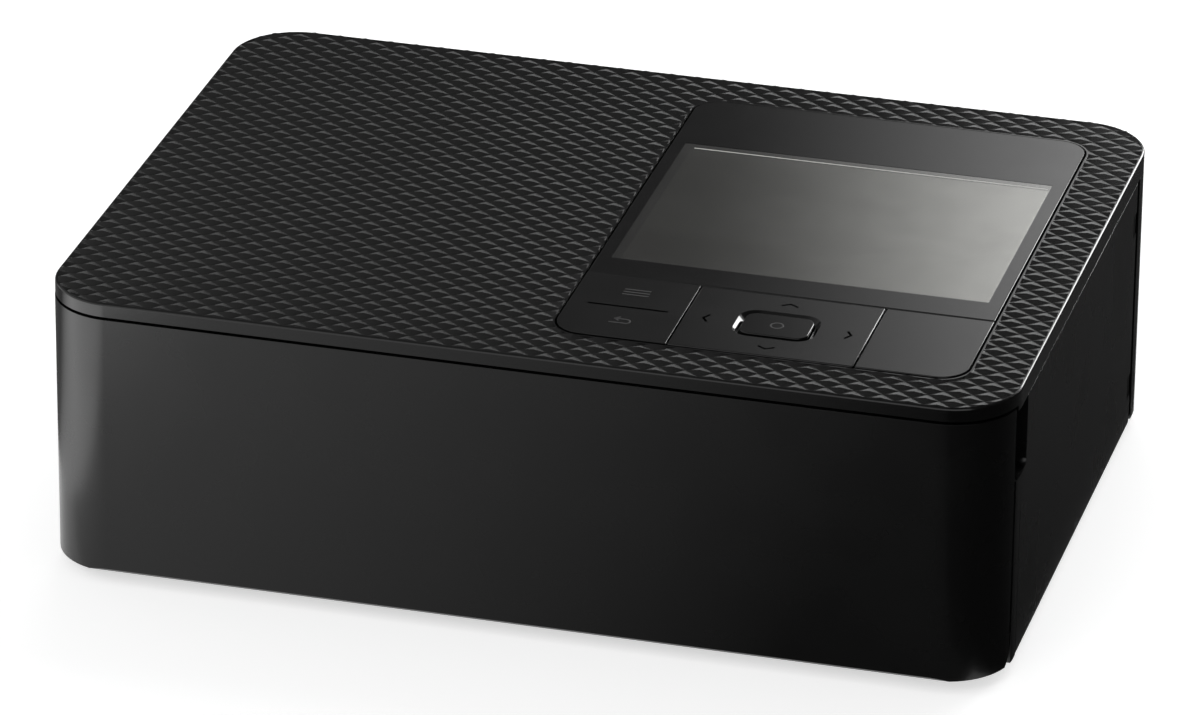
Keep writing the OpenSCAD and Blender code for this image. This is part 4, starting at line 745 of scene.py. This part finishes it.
pick(field, "FACE", outside_field)
bpy.ops.mesh.delete(type="FACE")
bpy.ops.mesh.select_all(action="SELECT")
bpy.ops.mesh.poke(offset=(APEX_Z - GROOVE_Z) * MM)
bpy.ops.object.mode_set(mode="OBJECT")
pick(field, "EDGE", lambda edge: edge.is_boundary)
bpy.ops.mesh.extrude_edges_move(TRANSFORM_OT_translate={"value": (0, 0, -FIELD_DROP * MM)})
bpy.ops.transform.resize(value=(1, 1, 0))
bpy.ops.mesh.edge_face_add()
bpy.ops.object.mode_set(mode="OBJECT")
print("lattice:", len(field.data.polygons), "faces")
trim = rounded_block("trim", (*field_low, GROOVE_Z - FIELD_SINK), (*field_high, CUT_HIGH), FIELD_R,
                     COVER_STEPS, SLACK)
cut(trim, rounded_block("island", (*PANEL_LOW, CUT_LOW), (*PANEL_HIGH, CUT_HIGH + 1), PANEL_R,
                        PANEL_STEPS, OPENING_LIP - SLACK))
cut(field, trim, "INTERSECT")

# %% [markdown]
# A ridge towards the front or rear is told by its way: it hardly moves across the printer, and it rises.
# Edges of the walls that the trim left are crisp too, or a bright line would run round the field.

# %% Soft ridges and crisp edges
RIDGE_TURN, RIDGE_RISE, STEEP = 0.2, 0.05, 0.8


def stays_crisp(edge):
    """Whether an edge is anything but a ridge that runs front to rear from a pyramid's tip."""
    way = edge.verts[0].co - edge.verts[1].co
    return (abs(way.x) > RIDGE_TURN * abs(way.y) or abs(way.z) < RIDGE_RISE * way.length
            or any(face.normal.z < STEEP for face in edge.link_faces))


only(field)
bpy.ops.object.shade_smooth()
print("crisp edges:", edited(field, "EDGE", stays_crisp, bpy.ops.mesh.mark_sharp))
dress(field, "top_cover")

# %% [markdown]
# ## Control panel
#
# Window and keys are thin plates that lie flush in the cover, a third of a millimetre apart. Their edges
# are rounded by about 0.2 mm, and on a side towards the light each such edge draws a bright hairline.
#
# The display is bonded to the window, as on most such panels, so what is seen of it lies just under the
# window's upper face: a grey mask, the darker glass on it and, along the rear, a painted highlight: a
# near-white strip that stands for the bright line of light along the display's rear edge. Each is a foil
# a hundredth of a millimetre thick, laid one on the other.

# %% Window plate and display
PLATE_EDGE = 0.22
dress(smoothed(rounded_edges(cad_copy("display_window", "display_window_plate"), PLATE_EDGE)),
      "display_window")
dress(smoothed(rounded_edges(cad_copy("lcd_module", "lcd_module_frame"), 0.1)), "lcd_module")

plate_low, plate_high = (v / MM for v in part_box("display_window"))
FOIL_Z, FOIL_T, FOIL_EDGE = plate_high.z - 0.06, 0.01, 0.003
FOILS = (
    # name, low and high corner, finish: coated foil, polarising film, and a near-white foil that paints the
    # highlight along the display's rear edge
    ("display_mask", *zip(CLEAR_X, CLEAR_Y),
     brushed("mask_foil", "#a0a09e", 0.22, "X", mark=FOIL_MARK, depth=FOIL_DEPTH)),
    ("display_glass", (7.6, -20.5), (77.3, 31.6), FINISH["lcd_face"]),
    # A painted highlight: a near-white strip that stands for the bright line along the display's rear edge
    ("light_guide_edge", (8.0, 32.13), (77.0, 32.47),
     moulded("painted_highlight_white", "#f0f0ea", 0.3, depth=0.001, lift=0.1)),
)
for step, (name, low, high, finish) in enumerate(FOILS):
    foil = block(name, (*low, FOIL_Z + step * FOIL_T), (*high, FOIL_Z + (step + 1) * FOIL_T))
    clad(smoothed(rounded_edges(foil, FOIL_EDGE, 1)), "lcd_module", finish=finish)

# %% [markdown]
# The four-way key's groove slopes down to the centre button, and its left wall mirrors the light at the
# rear right. In the frame it is a plain step. Here the plate is made again from a block with rounded
# edges, and a block whose foot is drawn in cuts the sloping groove. The frame's own form is kept below.

# %% Four-way key's plate
key_low, key_high = (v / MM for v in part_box("nav_key"))
ok_low, ok_high = (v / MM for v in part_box("ok_button"))
key_mid, ok_size = (ok_low + ok_high) / 2, ok_high - ok_low
GROOVE_W, GROOVE_D, GROOVE_FOOT, OK_R, HOLE_GAP = 1.3, 0.9, 0.4, 2.2, 0.25
PLATE_T, PLATE_ANGLE, OK_STEPS = 0.3, 50, 8

nav = block("nav_key_plate", (key_low.x, key_low.y, plate_low.z), key_high)
rounded_edges(nav, PLATE_EDGE, 3, PLATE_ANGLE)
groove = rounded_block("groove", (*ok_low.xy, key_high.z - GROOVE_D), (*ok_high.xy, key_high.z + SLACK),
                       OK_R, OK_STEPS, GROOVE_W)
shrink = [(size + 2 * GROOVE_FOOT) / (size + 2 * GROOVE_W) for size in ok_size.xy]
edited(groove, "FACE", faces_down, bpy.ops.transform.resize, value=(*shrink, 1),
       center_override=(key_mid.x * MM, key_mid.y * MM, 0))
cut(nav, groove)
cut(nav, rounded_block("hole", (*ok_low.xy, CUT_LOW), (*ok_high.xy, CUT_HIGH), OK_R, OK_STEPS, HOLE_GAP))
below = cad_copy("nav_key", "nav_key_below")
cut(below, block("above", (*key_low.xy, plate_low.z + PLATE_T), (*key_high.xy, CUT_HIGH), BEYOND))
cut(nav, below, "UNION")
print("plate with its lower part:", len(nav.data.polygons), "faces")

# %% [markdown]
# The four-way key has a chevron towards each side, and the left key a bar between its two halves. They
# are cut half a millimetre into the plates, after the edges are rounded, so that they stay crisp.

# %% Chevrons
MARK_DEPTH = 0.5
CHEVRON_ARM, CHEVRON_W, CHEVRON_LEAN, CHEVRON_LAP = 1.7, 0.5, radians(32), 0.3
CHEVRONS = ((key_mid.x + 0.3, -32.0, 0), (key_mid.x + 0.3, -51.0, pi),
            (29.25, -41.6, pi / 2), (56.1, -41.6, -pi / 2))


def key_bar(x, y, length, width, reach, turn=0.0):
    """A bar in a key's face, which reaches as far above it as below. The turn is in radians."""
    bpy.ops.object.select_all(action="DESELECT")
    bpy.ops.mesh.primitive_cube_add(size=1, location=(x * MM, y * MM, key_high.z * MM),
                                    rotation=(0, 0, turn),
                                    scale=(length * MM, width * MM, 2 * reach * MM))
    bpy.ops.object.transform_apply(location=True, rotation=True, scale=True)
    return bpy.context.object


for x, y, turn in CHEVRONS:
    for side in (-1, 1):
        away = side * CHEVRON_ARM * cos(CHEVRON_LEAN) / 2
        cut(nav, key_bar(x + away * cos(turn), y + away * sin(turn), CHEVRON_ARM + CHEVRON_LAP, CHEVRON_W,
                         MARK_DEPTH, turn - side * CHEVRON_LEAN))
dress(joined(nav), "nav_key")

# %% [markdown]
# The plate's upper face is one large face with a hole and four chevrons in it. Smooth shading would
# spread over it like a fan, so it is shaded flat. The groove's sloping walls are polished, which a second
# finish on the same piece gives.


# %% Flat face and polished groove
def in_groove(face):
    """Whether a face belongs to the sloping walls around the centre button."""
    place = face.calc_center_median() / MM
    return (0.3 < face.normal.z < 0.9 and abs(place.x - key_mid.x) < ok_size.x / 2 + GROOVE_W
            and abs(place.y - key_mid.y) < ok_size.y / 2 + GROOVE_W)


only(nav)
bpy.ops.object.shade_smooth_by_angle(angle=radians(SOFT_ANGLE))
edited(nav, "FACE", lambda face: face.normal.z > 0.999, bpy.ops.mesh.faces_shade_flat)
nav.data.materials.append(FINISH["ok_plastic"])
walls = pick(nav, "FACE", in_groove)
nav.active_material_index = 1
bpy.ops.object.material_slot_assign()
bpy.ops.object.mode_set(mode="OBJECT")
print("polished groove walls:", walls)

# %% [markdown]
# The other keys are the frame's own forms with round edges. The centre button's edge is the roundest, as
# it stands a little proud and the thumb rubs over it.

# %% Left key, right key and centre button
MENU_MID_X, MENU_BAR_Y, MENU_BAR_L, MENU_BAR_W = 14.4, -41.1, 15.2, 0.6
menu = rounded_edges(cad_copy("menu_key", "menu_key_plate"), PLATE_EDGE)
cut(menu, key_bar(MENU_MID_X, MENU_BAR_Y, MENU_BAR_L, MENU_BAR_W, MARK_DEPTH))
dress(smoothed(menu), "menu_key")
dress(smoothed(rounded_edges(cad_copy("print_key", "print_key_plate"), PLATE_EDGE)), "print_key")
dress(smoothed(rounded_edges(cad_copy("ok_button", "ok_button_cap"), 0.3, 3)), "ok_button")

# %% [markdown]
# Marks on such keys are pad printed: a film of grey ink that stands a hundredth of a millimetre proud. The
# left key has three bars above for its list of choices and a bent arrow below for going back. The centre
# button has a plain ring. All of them are made from bars, a flattened ring and half of one.

# %% Pad printed marks
INK_T, LINE_W, RING_R = 0.02, 0.36, 1.15
# Grey ink, pad printed: matt, so that it shows on a glossy key from any side
ink = moulded("pad_print_ink", "#3a3a3a", 0.45, grain=0.2, depth=0.002, lift=0.3)


def ring(x, y, radius):
    """A flat ring on a key's face."""
    bpy.ops.object.select_all(action="DESELECT")
    bpy.ops.mesh.primitive_torus_add(location=(x * MM, y * MM, key_high.z * MM), major_radius=radius * MM,
                                     minor_radius=LINE_W * MM / 2, major_segments=40, minor_segments=8)
    piece = bpy.context.object
    piece.scale.z = 2 * INK_T / LINE_W
    bpy.ops.object.transform_apply(location=True, rotation=True, scale=True)
    return piece


def printed(name, parts, node):
    """Joins the parts of one mark, which then rides with its key."""
    bpy.ops.object.select_all(action="DESELECT")
    for part in parts:
        part.select_set(True)
    bpy.context.view_layer.objects.active = parts[0]
    if len(parts) > 1:
        bpy.ops.object.join()
    mark = bpy.context.object
    mark.name = name
    clad(smoothed(mark), node, finish=ink)


MENU_BARS_Y, BARS_PITCH, BARS_L, BARS_W = -34.6, 1.1, 5.0, 0.4
printed("menu_mark", [key_bar(MENU_MID_X, MENU_BARS_Y + step * BARS_PITCH, BARS_L, BARS_W, INK_T)
                      for step in (-1, 0, 1)], "menu_key")

# %% [markdown]
# The bent arrow is half a ring with a bar from each end, and two short bars make its head. The centre
# button's ring is whole.

# %% Bent arrow and ring
BACK_X, BACK_Y, BACK_R, BEND_X = 14.6, -47.2, 0.85, 15.6
HEAD_L, HEAD_LEAN, HEAD_X = 1.3, radians(38), 13.3
bend = ring(BEND_X, BACK_Y, BACK_R)
edited(bend, "VERT", lambda vertex: vertex.co.x < BEND_X * MM - 1e-6, bpy.ops.mesh.delete, type="VERT")
edited(bend, "EDGE", lambda edge: edge.is_boundary, bpy.ops.mesh.edge_face_add)
arms = [key_bar(BACK_X - 0.1, BACK_Y + BACK_R, 2.3, LINE_W, INK_T),
        key_bar(BACK_X - 0.5, BACK_Y - BACK_R, 3.0, LINE_W, INK_T)]
heads = [key_bar(HEAD_X + HEAD_L * cos(HEAD_LEAN) / 2, BACK_Y + BACK_R + side * HEAD_L * sin(HEAD_LEAN) / 2,
                 HEAD_L, LINE_W, INK_T, side * HEAD_LEAN) for side in (-1, 1)]
printed("back_mark", [bend] + arms + heads, "menu_key")
printed("ok_mark", [ring(key_mid.x, key_mid.y, RING_R)], "ok_button")
